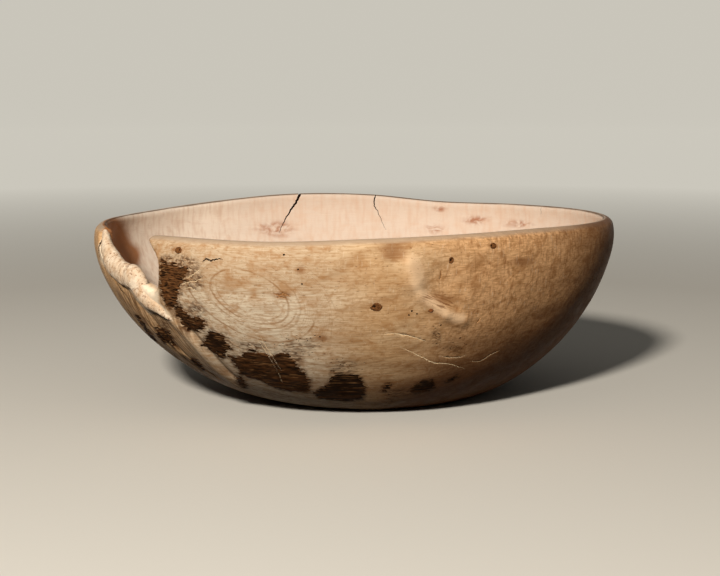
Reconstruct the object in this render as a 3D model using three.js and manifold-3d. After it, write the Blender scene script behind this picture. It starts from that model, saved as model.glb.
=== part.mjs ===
// A bowl hollowed by hand from one root. Millimetres, +Z up, +X along its length, -Y towards the viewer.
// Bearings are degrees around the foot's middle, from +X on the right through the back, left and front.
// The wall is a loft: an oval foot swells into a wider, uneven rim. What grew into the root is set into that
// wall: a roll of wound wood on the edge of a natural notch, dead knots, a bead of resin and remains of bark.
import * as THREE from 'three';
import { mergeVertices } from 'three/addons/utils/BufferGeometryUtils.js';
import Module from 'manifold-3d';

// Overall form
const RIM_HEIGHT = 144;
const REACH_RIGHT = 199;
const REACH_BACK_RIGHT = 190;
const REACH_BACK = 178;
const REACH_BACK_LEFT = 200;
const REACH_LEFT = 224;
const REACH_FRONT_LEFT = 214;
const REACH_FRONT = 184;
const REACH_FRONT_RIGHT = 174;
const FOOT_LENGTH = 162;
const FOOT_WIDTH = 158;
const BULGE_BELOW_RIM = 14;
const RIM_DRAWN_IN = 2.5;
const WALL_ROUNDNESS = 1.66;
// Rise of the rim above its height, every 22.5 degrees from the right
const RIM_WAVE = [-0.5, -1.4, -2.9, -3.6, 1.9, 3, -0.8, -4, -3.8, -3, -0.4, -0.6, 1.5, 2.3, 2.1, 0.6];

// Hollow
const RIM_THICKNESS = 10;
const FLOOR_THICKNESS = 16;
const HOLLOW_FLOOR_LENGTH = 124;
const HOLLOW_FLOOR_WIDTH = 118;
const NOTCH_SWELL = 4;
const NOTCH_SWELL_SPREAD = 26;

// Relief of the outer wall
const SWIRL = { bearing: 286, height: 109, radius: 17, depth: 3.6 };
const SWIRL_RIDGE = [[279.8, 116], [282.6, 104], [285.5, 97], [288.8, 90], [293, 84.5]];
const SWIRL_RIDGE_RISE = 2.5;
const SWIRL_RIDGE_WIDTH = 6;
const FOLD = [[220.5, 96], [220, 82], [222.5, 68], [223.5, 50], [223, 30]];
const FOLD_DEPTH = 3.5;
const FOLD_WIDTH = 7;

// Natural notch in the rim: its outline along the wall from the notch's middle, and down from the rim
const NOTCH_BEARING = 212;
const NOTCH_EDGE = [[-57, -8], [-50, -16], [-42, -22.5], [-34, -28], [-22, -32], [-9, -34], [4, -36]];
const NOTCH_SLIT = [[15, -38], [22.5, -41.5], [29, -39]];
const NOTCH_NEAR_SIDE = [[36, -28], [38, -17], [32, -9], [25, -2]];
const LIP_RADIUS = 9;
const LIP_KNOB_RADIUS = 10;

// Drying crack in the back wall
const CRACK_TOP_BEARING = 111;
const CRACK_LENGTH = 34;
const CRACK_LEAN = 21;
const CRACK_WIDTH = 1.8;

// Knots, by bearing, depth below the rim and face size
const KNOT_DEPTH = 6;
const KNOT_TAPER = 0.7;
const KNOT_FACE = 0.8;
const KNOTS = [
  { name: 'dead_knot', bearing: 271, below: 50, width: 8.4, tall: 6.6, sunk: 0.6, color: 0x3a2010 },
  { name: 'rim_knot', bearing: 301, below: 9.5, width: 5.6, tall: 4.2, sunk: 0.4, color: 0x6b3418 },
  { name: 'small_knot', bearing: 289.2, below: 17.5, width: 3.8, tall: 4.8, sunk: 0.4, color: 0x4a2a14 },
  { name: 'left_knot', bearing: 228.2, below: 9, width: 5.8, tall: 4.6, sunk: 0.3, color: 0x8a5a32 },
];
const RESIN_BEARING = 284.8;
const RESIN_BELOW = 55;
const RESIN_WIDTH = 3.4;
const RESIN_DEPTH = 1.6;
const RESIN_CROWN = 0.5;
const RESIN_SHOULDER = 0.7;
const RESIN_SOCKET_SHOULDER = 0.8;

// Bark remains, lying along two belts on the wall. Lengths run along the belt, widths across it, and space is
// the share of the belt's spare length that lies ahead of a piece.
const BARK_THICKNESS = 1.8;
const BARK_PROUD = 0.5;
const BARK_RAGGEDNESS = 0.13;
const BARK_WAVES = 3;
const BARK_RIPPLES = 5;
const FRONT_BELT = [[228.5, 128], [227.5, 111], [227, 84], [231, 62], [241.5, 41], [260, 26], [276, 23],
  [288, 27], [299, 33]];
const FRONT_BARK = [
  { length: 32, width: 27, space: 0 },
  { length: 23, width: 30, space: 1 },
  { length: 26, width: 30, space: 1 },
  { length: 54, width: 46, space: 1 },
  { length: 40, width: 34, space: 1 },
  { length: 9, width: 12, space: 2 },
  { length: 20, width: 20, space: 3 },
  { length: 11, width: 9, space: 2 },
];
const SIDE_BELT = [[203, 74], [209, 69], [216, 64], [216, 43], [222, 33], [233, 24]];
const SIDE_BARK = [
  { length: 17, width: 12, space: 0 },
  { length: 28, width: 20, space: 1 },
  { length: 16, width: 14, space: 1 },
  { length: 24, width: 10, space: 2 },
];

const CLEARANCE = 0.3;

// Finishes, as a colour and a roughness. A knot has its own colour.
const ROOT_WOOD = { color: 0xc59c70, roughness: 0.5 };
const WOUND_WOOD = { color: 0xe7c8a6, roughness: 0.55 };
const RESIN = { color: 0xc8741e, roughness: 0.2 };
const BARK = { color: 0x2c1a0d, roughness: 0.8 };
const KNOT_ROUGHNESS = 0.7;

// How finely the curves are divided
const BOWL_SEGMENTS = 92;
const OUTER_ROWS = 13;
const INNER_ROWS = 8;
const RIM_ROWS = 4;
const BARK_SEGMENTS = 18;
const BARK_RINGS = 2;
const KNOT_SEGMENTS = 14;
const LIP_SIDES = 6;
const LIP_STEPS = 16;
const KNOB_SEGMENTS = 12;
const OUTLINE_SEGMENTS = 4;
const STEPS_PER_PLACE = 4;

const FULL_TURN = 360;
const QUARTER_TURN = Math.PI / 2;
const MERGE_DISTANCE = 1e-4;
const SLOPE_STEP = 0.01;
const OVERSHOOT = 30;

const wasm = await Module();
wasm.setup();

const radians = THREE.MathUtils.degToRad;

// A smooth closed curve through values at evenly spaced bearings, as a function of the bearing.
function aroundTheBowl(values) {
  const closed = [...values, values[0]];
  const bearings = closed.map((_, index) => index * FULL_TURN / values.length);
  const curve = new THREE.CubicInterpolant(bearings, closed, 1, new Float64Array(1));
  curve.settings = { endingStart: THREE.WrapAroundEnding, endingEnd: THREE.WrapAroundEnding };
  return (bearing) => curve.evaluate(THREE.MathUtils.euclideanModulo(bearing, FULL_TURN))[0];
}

const reachAt = aroundTheBowl([REACH_RIGHT, REACH_BACK_RIGHT, REACH_BACK, REACH_BACK_LEFT,
  REACH_LEFT, REACH_FRONT_LEFT, REACH_FRONT, REACH_FRONT_RIGHT]);
const rimWaveAt = aroundTheBowl(RIM_WAVE);
const rimAt = (bearing) => RIM_HEIGHT + rimWaveAt(bearing);

// Radius of an oval of a given length and width at a bearing.
function ovalAt(length, width, bearing) {
  const turn = radians(bearing);
  return 1 / Math.hypot(Math.cos(turn) * 2 / length, Math.sin(turn) * 2 / width);
}

// Radius and height of a wall that leaves a floor level, swells out to the bulge, then leans in to the rim.
// Climb runs from 0 at the floor's edge to 1 at the bulge and 2 at the rim.
function wallSection(bearing, climb, floorRadius, floorHeight, inset) {
  const bulge = rimAt(bearing) - BULGE_BELOW_RIM;
  const widest = reachAt(bearing) - inset;
  const turn = Math.min(climb, 1) * QUARTER_TURN;
  const lean = Math.max(climb - 1, 0);
  const outward = Math.sin(turn) ** (2 / WALL_ROUNDNESS);
  const upward = 1 - Math.abs(Math.cos(turn)) ** (2 / WALL_ROUNDNESS);
  return {
    radius: floorRadius + (widest - floorRadius) * outward - RIM_DRAWN_IN * lean ** 2,
    height: floorHeight + (bulge - floorHeight) * upward + BULGE_BELOW_RIM * lean,
  };
}

function aroundPoint(bearing, radius, height) {
  const turn = radians(bearing);
  return new THREE.Vector3(radius * Math.cos(turn), radius * Math.sin(turn), height);
}

// The outer wall before its relief.
function plainWall(bearing, climb) {
  const { radius, height } = wallSection(bearing, climb, ovalAt(FOOT_LENGTH, FOOT_WIDTH, bearing), 0, 0);
  return aroundPoint(bearing, radius, height);
}

// How far up the outer wall a height lies.
function climbAt(bearing, height) {
  const bulge = rimAt(bearing) - BULGE_BELOW_RIM;
  if (height > bulge) {
    return 1 + (height - bulge) / BULGE_BELOW_RIM;
  }
  return Math.acos((1 - height / bulge) ** (WALL_ROUNDNESS / 2)) / QUARTER_TURN;
}

const plainAtHeight = ([bearing, height]) => plainWall(bearing, climbAt(bearing, height));
const alongTheWall = (places) => new THREE.CatmullRomCurve3(places.map(plainAtHeight));

// Directions on the outer wall: along it, up it and out of it.
function wallDirections(bearing, climb) {
  const behind = plainWall(bearing - SLOPE_STEP, climb);
  const along = plainWall(bearing + SLOPE_STEP, climb).sub(behind).normalize();
  const up = plainWall(bearing, climb + SLOPE_STEP).sub(plainWall(bearing, climb - SLOPE_STEP)).normalize();
  return { along, up, out: along.clone().cross(up).normalize() };
}

const fallOff = (distance, width) => Math.exp(-((distance / width) ** 2));
const swirlMiddle = plainAtHeight([SWIRL.bearing, SWIRL.height]);
const ridgePoints = alongTheWall(SWIRL_RIDGE).getSpacedPoints(SWIRL_RIDGE.length * STEPS_PER_PLACE);
const foldPoints = alongTheWall(FOLD).getSpacedPoints(FOLD.length * STEPS_PER_PLACE);
const nearest = (points, place) => Math.min(...points.map((point) => point.distanceTo(place)));

// The swirl's hollow and its ridge, and the fold in the root below the notch.
function reliefAt(place) {
  const hollow = SWIRL.depth * fallOff(place.distanceTo(swirlMiddle), SWIRL.radius);
  const ridge = SWIRL_RIDGE_RISE * fallOff(nearest(ridgePoints, place), SWIRL_RIDGE_WIDTH);
  const fold = FOLD_DEPTH * fallOff(nearest(foldPoints, place), FOLD_WIDTH);
  return ridge - hollow - fold;
}

// A point of the outer wall, moved out by an offset.
function outerWall(bearing, climb, offset = 0) {
  const place = plainWall(bearing, climb);
  const { out } = wallDirections(bearing, climb);
  return place.addScaledVector(out, reliefAt(place) + offset);
}

const bearingGap = (a, b) =>
  THREE.MathUtils.euclideanModulo(a - b + FULL_TURN / 2, FULL_TURN) - FULL_TURN / 2;

// The root is left thicker around the notch.
function thicknessAt(bearing) {
  return RIM_THICKNESS + NOTCH_SWELL * fallOff(bearingGap(bearing, NOTCH_BEARING), NOTCH_SWELL_SPREAD);
}

function innerWall(bearing, climb) {
  const floorRadius = ovalAt(HOLLOW_FLOOR_LENGTH, HOLLOW_FLOOR_WIDTH, bearing);
  const { radius, height } = wallSection(bearing, climb, floorRadius, FLOOR_THICKNESS, thicknessAt(bearing));
  return aroundPoint(bearing, radius, height);
}

// The round of the rim, from its outer side over to its inner side.
function rimRound(bearing, share) {
  const half = thicknessAt(bearing) / 2;
  const climb = 2 - half / BULGE_BELOW_RIM;
  const outside = plainWall(bearing, climb);
  const middle = Math.hypot(outside.x, outside.y) - half;
  const turn = share * Math.PI;
  return aroundPoint(bearing, middle + half * Math.cos(turn), outside.z + half * Math.sin(turn));
}

// One row of points for each ring of the bowl, from the foot's middle round the rim to the hollow's middle.
function bowlRows() {
  const rimClimb = (bearing) => 2 - thicknessAt(bearing) / 2 / BULGE_BELOW_RIM;
  const rows = [() => new THREE.Vector3(0, 0, 0)];
  for (let row = 0; row <= OUTER_ROWS; row += 1) {
    const share = row / OUTER_ROWS;
    rows.push((bearing) => (row === 0 ? plainWall(bearing, 0) : outerWall(bearing, share)));
  }
  rows.push((bearing) => outerWall(bearing, (1 + rimClimb(bearing)) / 2));
  for (let row = 0; row <= RIM_ROWS; row += 1) {
    rows.push((bearing) => rimRound(bearing, row / RIM_ROWS));
  }
  rows.push((bearing) => innerWall(bearing, (1 + rimClimb(bearing)) / 2));
  for (let row = INNER_ROWS; row >= 0; row -= 1) {
    rows.push((bearing) => innerWall(bearing, row / INNER_ROWS));
  }
  rows.push(() => new THREE.Vector3(0, 0, FLOOR_THICKNESS));
  return rows;
}

// Turns a round blank and pushes each of its rings out to the bowl's own oval.
function bowlBlank() {
  const rows = bowlRows();
  const section = rows.map((row) => {
    const point = row(0);
    return new THREE.Vector2(point.x, point.z);
  });
  const blank = new THREE.LatheGeometry(section, BOWL_SEGMENTS);
  const position = blank.getAttribute('position');
  for (let index = 0; index < position.count; index += 1) {
    const bearing = Math.floor(index / rows.length) % BOWL_SEGMENTS * FULL_TURN / BOWL_SEGMENTS;
    const point = rows[index % rows.length](bearing);
    position.setXYZ(index, point.x, point.y, point.z);
  }
  return solidOf(blank);
}

// A closed geometry as a solid, with its shared points merged and its flattened triangles dropped.
function solidOf(geometry) {
  const bare = new THREE.BufferGeometry();
  bare.setAttribute('position', geometry.getAttribute('position'));
  bare.setIndex(geometry.getIndex());
  const merged = mergeVertices(bare, MERGE_DISTANCE);
  const corners = merged.getIndex().array;
  const kept = [];
  for (let index = 0; index < corners.length; index += 3) {
    const [a, b, c] = corners.slice(index, index + 3);
    if (a !== b && b !== c && c !== a) {
      kept.push(a, b, c);
    }
  }
  const vertProperties = merged.getAttribute('position').array;
  const closed = (order) =>
    new wasm.Manifold(new wasm.Mesh({ numProp: 3, vertProperties, triVerts: new Uint32Array(order) }));
  const solid = closed(kept);
  return solid.volume() > 0 ? solid : closed(kept.reverse());
}

// An outline drawn along and up the wall, cut right through it towards the bowl's middle.
function throughTheWall(outline, bearing, topHeight) {
  const reach = reachAt(bearing);
  const depth = 2 * OVERSHOOT + RIM_THICKNESS;
  const settings = { depth, bevelEnabled: false, curveSegments: OUTLINE_SEGMENTS };
  const cutter = new THREE.ExtrudeGeometry(outline, settings);
  const position = cutter.getAttribute('position');
  for (let index = 0; index < position.count; index += 1) {
    const turned = bearing + THREE.MathUtils.radToDeg(position.getX(index) / reach);
    const radius = reachAt(turned) - depth + OVERSHOOT + position.getZ(index);
    const point = aroundPoint(turned, radius, topHeight + position.getY(index));
    position.setXYZ(index, point.x, point.y, point.z);
  }
  return solidOf(cutter);
}

function notchCutter() {
  const edge = [...NOTCH_EDGE, ...NOTCH_SLIT, ...NOTCH_NEAR_SIDE].map(([x, y]) => new THREE.Vector2(x, y));
  const outline = new THREE.Shape();
  outline.moveTo(edge[0].x, OVERSHOOT);
  outline.lineTo(edge[0].x, edge[0].y);
  outline.splineThru(edge.slice(1));
  outline.lineTo(edge.at(-1).x, OVERSHOOT);
  return throughTheWall(outline, NOTCH_BEARING, rimAt(NOTCH_BEARING));
}

// The middle of the wall at a place along it from the notch's middle and down from the rim.
function notchPlace([along, down]) {
  const bearing = NOTCH_BEARING + THREE.MathUtils.radToDeg(along / reachAt(NOTCH_BEARING));
  const height = rimAt(NOTCH_BEARING) + down;
  const outside = plainAtHeight([bearing, height]);
  return aroundPoint(bearing, Math.hypot(outside.x, outside.y) - thicknessAt(bearing) / 2, height);
}

function ball(middle, radius) {
  const sphere = new THREE.SphereGeometry(radius, KNOB_SEGMENTS, KNOB_SEGMENTS / 2);
  return solidOf(sphere.translate(middle.x, middle.y, middle.z));
}

const lipPath = new THREE.CatmullRomCurve3(NOTCH_EDGE.map(notchPlace));

// The roll of wound wood along the notch's lower edge.
function lipRoll(grown) {
  const round = new THREE.Shape();
  round.absarc(0, 0, LIP_RADIUS + grown, 0, 2 * Math.PI);
  const roll = new THREE.ExtrudeGeometry(round, {
    extrudePath: lipPath, steps: LIP_STEPS, curveSegments: LIP_SIDES, bevelEnabled: false,
  });
  return solidOf(roll).add(ball(lipPath.getPoint(0), LIP_RADIUS + grown));
}

// The knob that the roll ends in.
function lipKnob(grown) {
  return ball(lipPath.getPoint(1), LIP_KNOB_RADIUS + grown);
}

// A wedge that opens at the rim and leans as it runs down.
function crackCutter() {
  const outline = new THREE.Shape();
  outline.moveTo(-CRACK_WIDTH, OVERSHOOT);
  outline.lineTo(-CRACK_WIDTH / 2, 0);
  outline.lineTo(CRACK_LEAN, -CRACK_LENGTH);
  outline.lineTo(CRACK_WIDTH / 2, 0);
  outline.lineTo(CRACK_WIDTH, OVERSHOOT);
  return throughTheWall(outline, CRACK_TOP_BEARING, rimAt(CRACK_TOP_BEARING));
}

// A turned plug, stretched to an oval and set square to the wall. Its section runs out from the wall's face.
function plug(bearing, below, width, tall, section) {
  const climb = climbAt(bearing, rimAt(bearing) - below);
  const { along, up, out } = wallDirections(bearing, climb);
  const turned = new THREE.LatheGeometry(section, KNOT_SEGMENTS);
  turned.rotateX(QUARTER_TURN);
  turned.scale(width / 2, tall / 2, 1);
  turned.applyMatrix4(new THREE.Matrix4().makeBasis(along, up, out).setPosition(outerWall(bearing, climb)));
  return solidOf(turned);
}

const sectionOf = (pairs) => pairs.map(([across, out]) => new THREE.Vector2(across, out));

function knotPlug(knot) {
  const side = [[KNOT_TAPER, -KNOT_DEPTH], [1, -2 * knot.sunk], [KNOT_FACE, -knot.sunk]];
  const section = [[0, -KNOT_DEPTH], ...side, [0, -knot.sunk]];
  return plug(knot.bearing, knot.below, knot.width, knot.tall, sectionOf(section));
}

function knotSocket(knot) {
  const floor = -KNOT_DEPTH - CLEARANCE;
  const section = [[0, floor], [KNOT_TAPER, floor], [1, -knot.sunk], [1, OVERSHOOT], [0, OVERSHOOT]];
  const wider = 2 * CLEARANCE;
  return plug(knot.bearing, knot.below, knot.width + wider, knot.tall + wider, sectionOf(section));
}

function resinBead() {
  const shoulder = (height) => [RESIN_SHOULDER, height * RESIN_SHOULDER];
  const below = [[0, -RESIN_DEPTH], shoulder(-RESIN_DEPTH), [1, 0]];
  const section = [...below, shoulder(RESIN_CROWN), [0, RESIN_CROWN]];
  return plug(RESIN_BEARING, RESIN_BELOW, RESIN_WIDTH, RESIN_WIDTH, sectionOf(section));
}

function resinSocket() {
  const floor = -RESIN_DEPTH - CLEARANCE;
  const shoulder = [RESIN_SOCKET_SHOULDER, floor * RESIN_SOCKET_SHOULDER];
  const section = [[0, floor], shoulder, [1, 0], [1, OVERSHOOT], [0, OVERSHOOT]];
  const wide = RESIN_WIDTH + 2 * CLEARANCE;
  return plug(RESIN_BEARING, RESIN_BELOW, wide, wide, sectionOf(section));
}

// Places for pieces of given lengths along a belt, with what is left of the belt shared between the gaps.
function placesAlong(belt, pieces) {
  const curve = alongTheWall(belt);
  const whole = curve.getLength();
  const spare = whole - pieces.reduce((sum, piece) => sum + piece.length, 0);
  const spaces = pieces.reduce((sum, piece) => sum + piece.space, 0);
  let end = 0;
  return pieces.map((piece) => {
    const start = end + spare * piece.space / spaces;
    const share = (start + piece.length / 2) / whole;
    end = start + piece.length;
    return { ...piece, point: curve.getPointAt(share), heading: curve.getTangentAt(share) };
  });
}

// A thin oval coin with a ragged edge, pressed onto the wall between two depths.
function barkCoin(piece, index, grown, top, bottom) {
  const bearing = THREE.MathUtils.radToDeg(Math.atan2(piece.point.y, piece.point.x));
  const climb = climbAt(bearing, piece.point.z);
  const { along, up } = wallDirections(bearing, climb);
  const turn = Math.atan2(piece.heading.dot(up), piece.heading.dot(along));
  const radius = Math.hypot(piece.point.x, piece.point.y);
  const above = plainWall(bearing, climb + SLOPE_STEP);
  const climbLength = above.distanceTo(plainWall(bearing, climb)) / SLOPE_STEP;
  const shares = Array.from({ length: BARK_RINGS + 1 }, (_, ring) => ring / BARK_RINGS);
  const under = shares.map((share) => [share, bottom]);
  const over = shares.toReversed().map((share) => [share, top]);
  const section = [...under, ...over];
  const coin = new THREE.LatheGeometry(sectionOf(section), BARK_SEGMENTS);
  const position = coin.getAttribute('position');
  for (let vertex = 0; vertex < position.count; vertex += 1) {
    const [share, depth] = section[vertex % section.length];
    const angle = Math.floor(vertex / section.length) % BARK_SEGMENTS / BARK_SEGMENTS * 2 * Math.PI;
    const wobble = Math.sin(BARK_WAVES * angle + index) + Math.sin(BARK_RIPPLES * angle + 2 * index);
    const ragged = 1 - BARK_RAGGEDNESS * (1 + wobble / 2) / 2;
    const ahead = share * (piece.length / 2 * ragged + grown) * Math.cos(angle);
    const aside = share * (piece.width / 2 * ragged + grown) * Math.sin(angle);
    const sideways = ahead * Math.cos(turn) - aside * Math.sin(turn);
    const upwards = ahead * Math.sin(turn) + aside * Math.cos(turn);
    const turned = bearing + THREE.MathUtils.radToDeg(sideways / radius);
    const point = outerWall(turned, climb + upwards / climbLength, depth);
    position.setXYZ(vertex, point.x, point.y, point.z);
  }
  return solidOf(coin);
}

const barkPlaces = [...placesAlong(FRONT_BELT, FRONT_BARK), ...placesAlong(SIDE_BELT, SIDE_BARK)];

function barkRemnant(piece, index) {
  return barkCoin(piece, index, 0, BARK_PROUD, BARK_PROUD - BARK_THICKNESS);
}

function barkSeat(piece, index) {
  const floor = BARK_PROUD - BARK_THICKNESS - CLEARANCE;
  return barkCoin(piece, index, CLEARANCE, BARK_PROUD + BARK_THICKNESS, floor);
}

function bowlShell(blank) {
  const cutters = [
    notchCutter(),
    lipRoll(CLEARANCE),
    lipKnob(CLEARANCE),
    crackCutter(),
    resinSocket(),
    ...KNOTS.map(knotSocket),
    ...barkPlaces.map(barkSeat),
  ];
  return cutters.reduce((shell, cutter) => shell.subtract(cutter), blank);
}

// A named mesh of one sub-part with its own finish.
function subPart(name, solid, { color, roughness }) {
  const { vertProperties, triVerts } = solid.getMesh();
  const geometry = new THREE.BufferGeometry();
  geometry.setAttribute('position', new THREE.BufferAttribute(vertProperties, 3));
  geometry.setIndex(new THREE.BufferAttribute(triVerts, 1));
  geometry.computeVertexNormals();
  const mesh = new THREE.Mesh(geometry, new THREE.MeshStandardMaterial({ color, roughness, metalness: 0 }));
  mesh.name = name;
  return mesh;
}

const blank = bowlBlank();
const bowl = new THREE.Group();
bowl.add(subPart('bowl_shell', bowlShell(blank), ROOT_WOOD));
bowl.add(subPart('callus_lip', blank.intersect(lipRoll(0)).add(lipKnob(0)), WOUND_WOOD));
bowl.add(subPart('resin_bead', resinBead(), RESIN));
KNOTS.forEach((knot) => {
  bowl.add(subPart(knot.name, knotPlug(knot), { color: knot.color, roughness: KNOT_ROUGHNESS }));
});
barkPlaces.forEach((piece, index) => {
  const name = `bark_remnant_${String(index + 1).padStart(2, '0')}`;
  bowl.add(subPart(name, barkRemnant(piece, index), BARK));
});

// The part's origin is under the middle of its length and width, on the surface that it stands on.
const middle = new THREE.Box3().setFromObject(bowl).getCenter(new THREE.Vector3());
bowl.position.set(-middle.x, -middle.y, 0);
const part = new THREE.Group();
part.add(bowl);

export default part;
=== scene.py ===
# %% [markdown]
# # A bowl hollowed from a root
# The real bowl was hewn by hand from one large root. It is an uneven oval with a thick wall, a natural
# notch on its left edged by a pale roll of wound wood, remains of dark bark, a few knots and some drying
# cracks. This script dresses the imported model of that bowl: it keeps every place and size, and gives each
# piece its fine form and its finish.

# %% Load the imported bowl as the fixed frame
import math

import bmesh
import bpy
import numpy as np
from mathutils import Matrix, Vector
from mathutils.bvhtree import BVHTree
from mathutils.kdtree import KDTree


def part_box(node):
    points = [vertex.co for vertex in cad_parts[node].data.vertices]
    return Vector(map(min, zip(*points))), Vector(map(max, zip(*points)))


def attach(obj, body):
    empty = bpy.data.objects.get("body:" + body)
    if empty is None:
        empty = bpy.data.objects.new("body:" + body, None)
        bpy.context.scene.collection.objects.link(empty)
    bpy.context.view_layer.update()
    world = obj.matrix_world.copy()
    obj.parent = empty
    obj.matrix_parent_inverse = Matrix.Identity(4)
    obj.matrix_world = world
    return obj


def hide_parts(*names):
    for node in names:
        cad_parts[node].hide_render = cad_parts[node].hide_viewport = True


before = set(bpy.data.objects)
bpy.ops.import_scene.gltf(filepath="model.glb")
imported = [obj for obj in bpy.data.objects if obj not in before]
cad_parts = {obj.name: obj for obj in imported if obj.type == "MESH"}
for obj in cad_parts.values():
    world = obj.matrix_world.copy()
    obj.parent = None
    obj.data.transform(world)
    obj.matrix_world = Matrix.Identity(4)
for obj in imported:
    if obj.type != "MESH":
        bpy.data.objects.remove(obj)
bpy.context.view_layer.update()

MM = 0.001
BODY = "root"


# %% [markdown]
# ## Camera
# The photograph was taken from a little above the rim, square to the long side. A long lens from a metre
# and a half away keeps the oval of the mouth as flat as it is there. The numbers were found by laying the
# model over the picture.

# %% Camera
IMAGE_WIDTH = 720
IMAGE_HEIGHT = 576
FOCAL_PIXELS = 1800
SENSOR_WIDTH = 36
EYE = Vector((0.0038, -1.4577, 0.295))
LOOKS_DOWN = math.radians(8.2)

camera = bpy.data.objects.new("camera", bpy.data.cameras.new("camera"))
camera.data.sensor_width = SENSOR_WIDTH
camera.data.lens = FOCAL_PIXELS / IMAGE_WIDTH * SENSOR_WIDTH
camera.location = EYE
camera.rotation_euler = (math.pi / 2 - LOOKS_DOWN, 0, 0)
bpy.context.collection.objects.link(camera)
bpy.context.scene.camera = camera


def pixel_ray(across, down):
    """Direction from the eye through a pixel of the photograph."""
    right = (across - IMAGE_WIDTH / 2) / FOCAL_PIXELS
    up = (IMAGE_HEIGHT / 2 - down) / FOCAL_PIXELS
    ahead = Vector((0, math.cos(LOOKS_DOWN), -math.sin(LOOKS_DOWN)))
    upward = Vector((0, math.sin(LOOKS_DOWN), math.cos(LOOKS_DOWN)))
    return (ahead + upward * up + Vector((right, 0, 0))).normalized()


print("Lens in mm:", camera.data.lens)

# %% [markdown]
# ## Small helpers
# One function turns a written colour into the linear numbers that shaders work in. One adds a node with
# its settings and links, for shader trees and Geometry Nodes alike. The others make a mesh object from
# arrays of points and faces, join such arrays, and keep a number on each point of a mesh for a finish to
# read.

# %% Helpers
MERGE = 1e-6
FINE_MERGE = 1e-7


def colour(hex_code):
    """A linear colour from a written sRGB one."""
    shares = [int(hex_code[start:start + 2], 16) / 255 for start in (1, 3, 5)]
    linear = [share / 12.92 if share <= 0.04045 else ((share + 0.055) / 1.055) ** 2.4 for share in shares]
    return (*linear, 1)


def add(tree, kind, inputs=None, out=0, **settings):
    """Adds a node, sets it, fills or links its inputs, and gives back one of its outputs."""
    node = tree.nodes.new(kind)
    for name, value in settings.items():
        setattr(node, name, value)
    for key, value in (inputs or {}).items():
        if isinstance(value, bpy.types.NodeSocket):
            tree.links.new(value, node.inputs[key])
        else:
            node.inputs[key].default_value = value
    return node.outputs[out] if len(node.outputs) else node


def placed_object(name, mesh):
    """An object at the origin that shows a mesh with smooth faces."""
    mesh.shade_smooth()
    piece = bpy.data.objects.new(name, mesh)
    bpy.context.collection.objects.link(piece)
    return piece


def mesh_object(name, points, faces, materials):
    """A mesh object from points in metres and faces."""
    mesh = bpy.data.meshes.new(name)
    mesh.from_pydata([tuple(point) for point in points], [], [tuple(face) for face in faces])
    for material in materials:
        mesh.materials.append(material)
    return placed_object(name, mesh)


def clean(mesh, distance=MERGE):
    """Joins points that coincide, drops flattened faces and turns all faces outwards."""
    work = bmesh.new()
    work.from_mesh(mesh)
    bmesh.ops.remove_doubles(work, verts=work.verts, dist=distance)
    bmesh.ops.dissolve_degenerate(work, edges=work.edges, dist=distance)
    bmesh.ops.recalc_face_normals(work, faces=work.faces)
    work.to_mesh(mesh)
    work.free()


def ring_quads(rings, sides):
    """Quads between closed rings of points that follow each other."""
    index = np.arange(rings * sides).reshape(rings, sides)
    turned = np.roll(index, -1, axis=1)
    return np.stack([index[:-1], turned[:-1], turned[1:], index[1:]], axis=-1).reshape(-1, 4)


def joined(blocks):
    """Points and faces of several blocks as one, with the numbers in the faces moved on."""
    points = []
    faces = []
    start = 0
    for block_points, block_faces in blocks:
        points.append(block_points)
        faces += [[corner + start for corner in face] for face in block_faces]
        start += len(block_points)
    return np.vstack(points), faces


def only_used(points, quads):
    """The points that quads use, and the quads on these points."""
    used, kept = np.unique(np.array(quads), return_inverse=True)
    return points[used], kept.reshape(-1, 4)


def keep_on_points(mesh, name, values):
    """Keeps one number on each point of a mesh."""
    mesh.attributes.new(name, "FLOAT", "POINT").data.foreach_set("value", np.asarray(values, np.float32))


print("A middle grey, #808080, is", round(colour("#808080")[0], 3), "in linear light")

# %% [markdown]
# ## The bowl's form
# A root bowl has no true axis, so it isn't turned: its plan is a closed curve through reaches at eight
# even bearings, and its wall swells from a flat foot to a bulge just under the rim along a quarter of a
# superellipse. A place on the wall is told as a bearing from the foot's middle and a height. All of this
# is in millimetres and degrees.

# %% The bowl's form
RIM_HEIGHT = 144
REACHES = (199, 190, 178, 200, 224, 214, 184, 174)
RIM_WAVE = (-0.5, -1.4, -2.9, -3.6, 1.9, 3, -0.8, -4, -3.8, -3, -0.4, -0.6, 1.5, 2.3, 2.1, 0.6)
FOOT_OVAL = (162, 158)
HOLLOW_OVAL = (124, 118)
FLOOR_THICKNESS = 16
BULGE_BELOW_RIM = 14
RIM_DRAWN_IN = 2.5
WALL_ROUNDNESS = 1.66
RIM_THICKNESS = 10
NOTCH_BEARING = 212
NOTCH_SWELL = 4
NOTCH_SWELL_SPREAD = 26
FULL_TURN = 360
SLOPE_STEP = 0.05


def bend(before, start, end, after, share):
    """A smooth way from one value to the next, with slopes that suit the values around them."""
    leaving = (end - before) / 2
    arriving = (after - start) / 2
    level = start * (1 + 2 * share) * (1 - share) ** 2 + end * share ** 2 * (3 - 2 * share)
    return level + leaving * share * (1 - share) ** 2 + arriving * share ** 2 * (share - 1)


def around(values, bearing):
    """A smooth closed curve through values at evenly spaced bearings."""
    values = np.asarray(values, float)
    place = np.mod(bearing, FULL_TURN) * len(values) / FULL_TURN
    index = np.floor(place).astype(int)
    return bend(*(values[(index + step) % len(values)] for step in (-1, 0, 1, 2)), place - index)


def beside(bearing, middle, spread):
    """1 at a bearing, falling softly to 0 on both sides of it."""
    away = np.mod(bearing - middle + FULL_TURN / 2, FULL_TURN) - FULL_TURN / 2
    return np.exp(-(away / spread) ** 2)


def rim_at(bearing):
    """Height of the rim's top."""
    return RIM_HEIGHT + around(RIM_WAVE, bearing)


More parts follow.
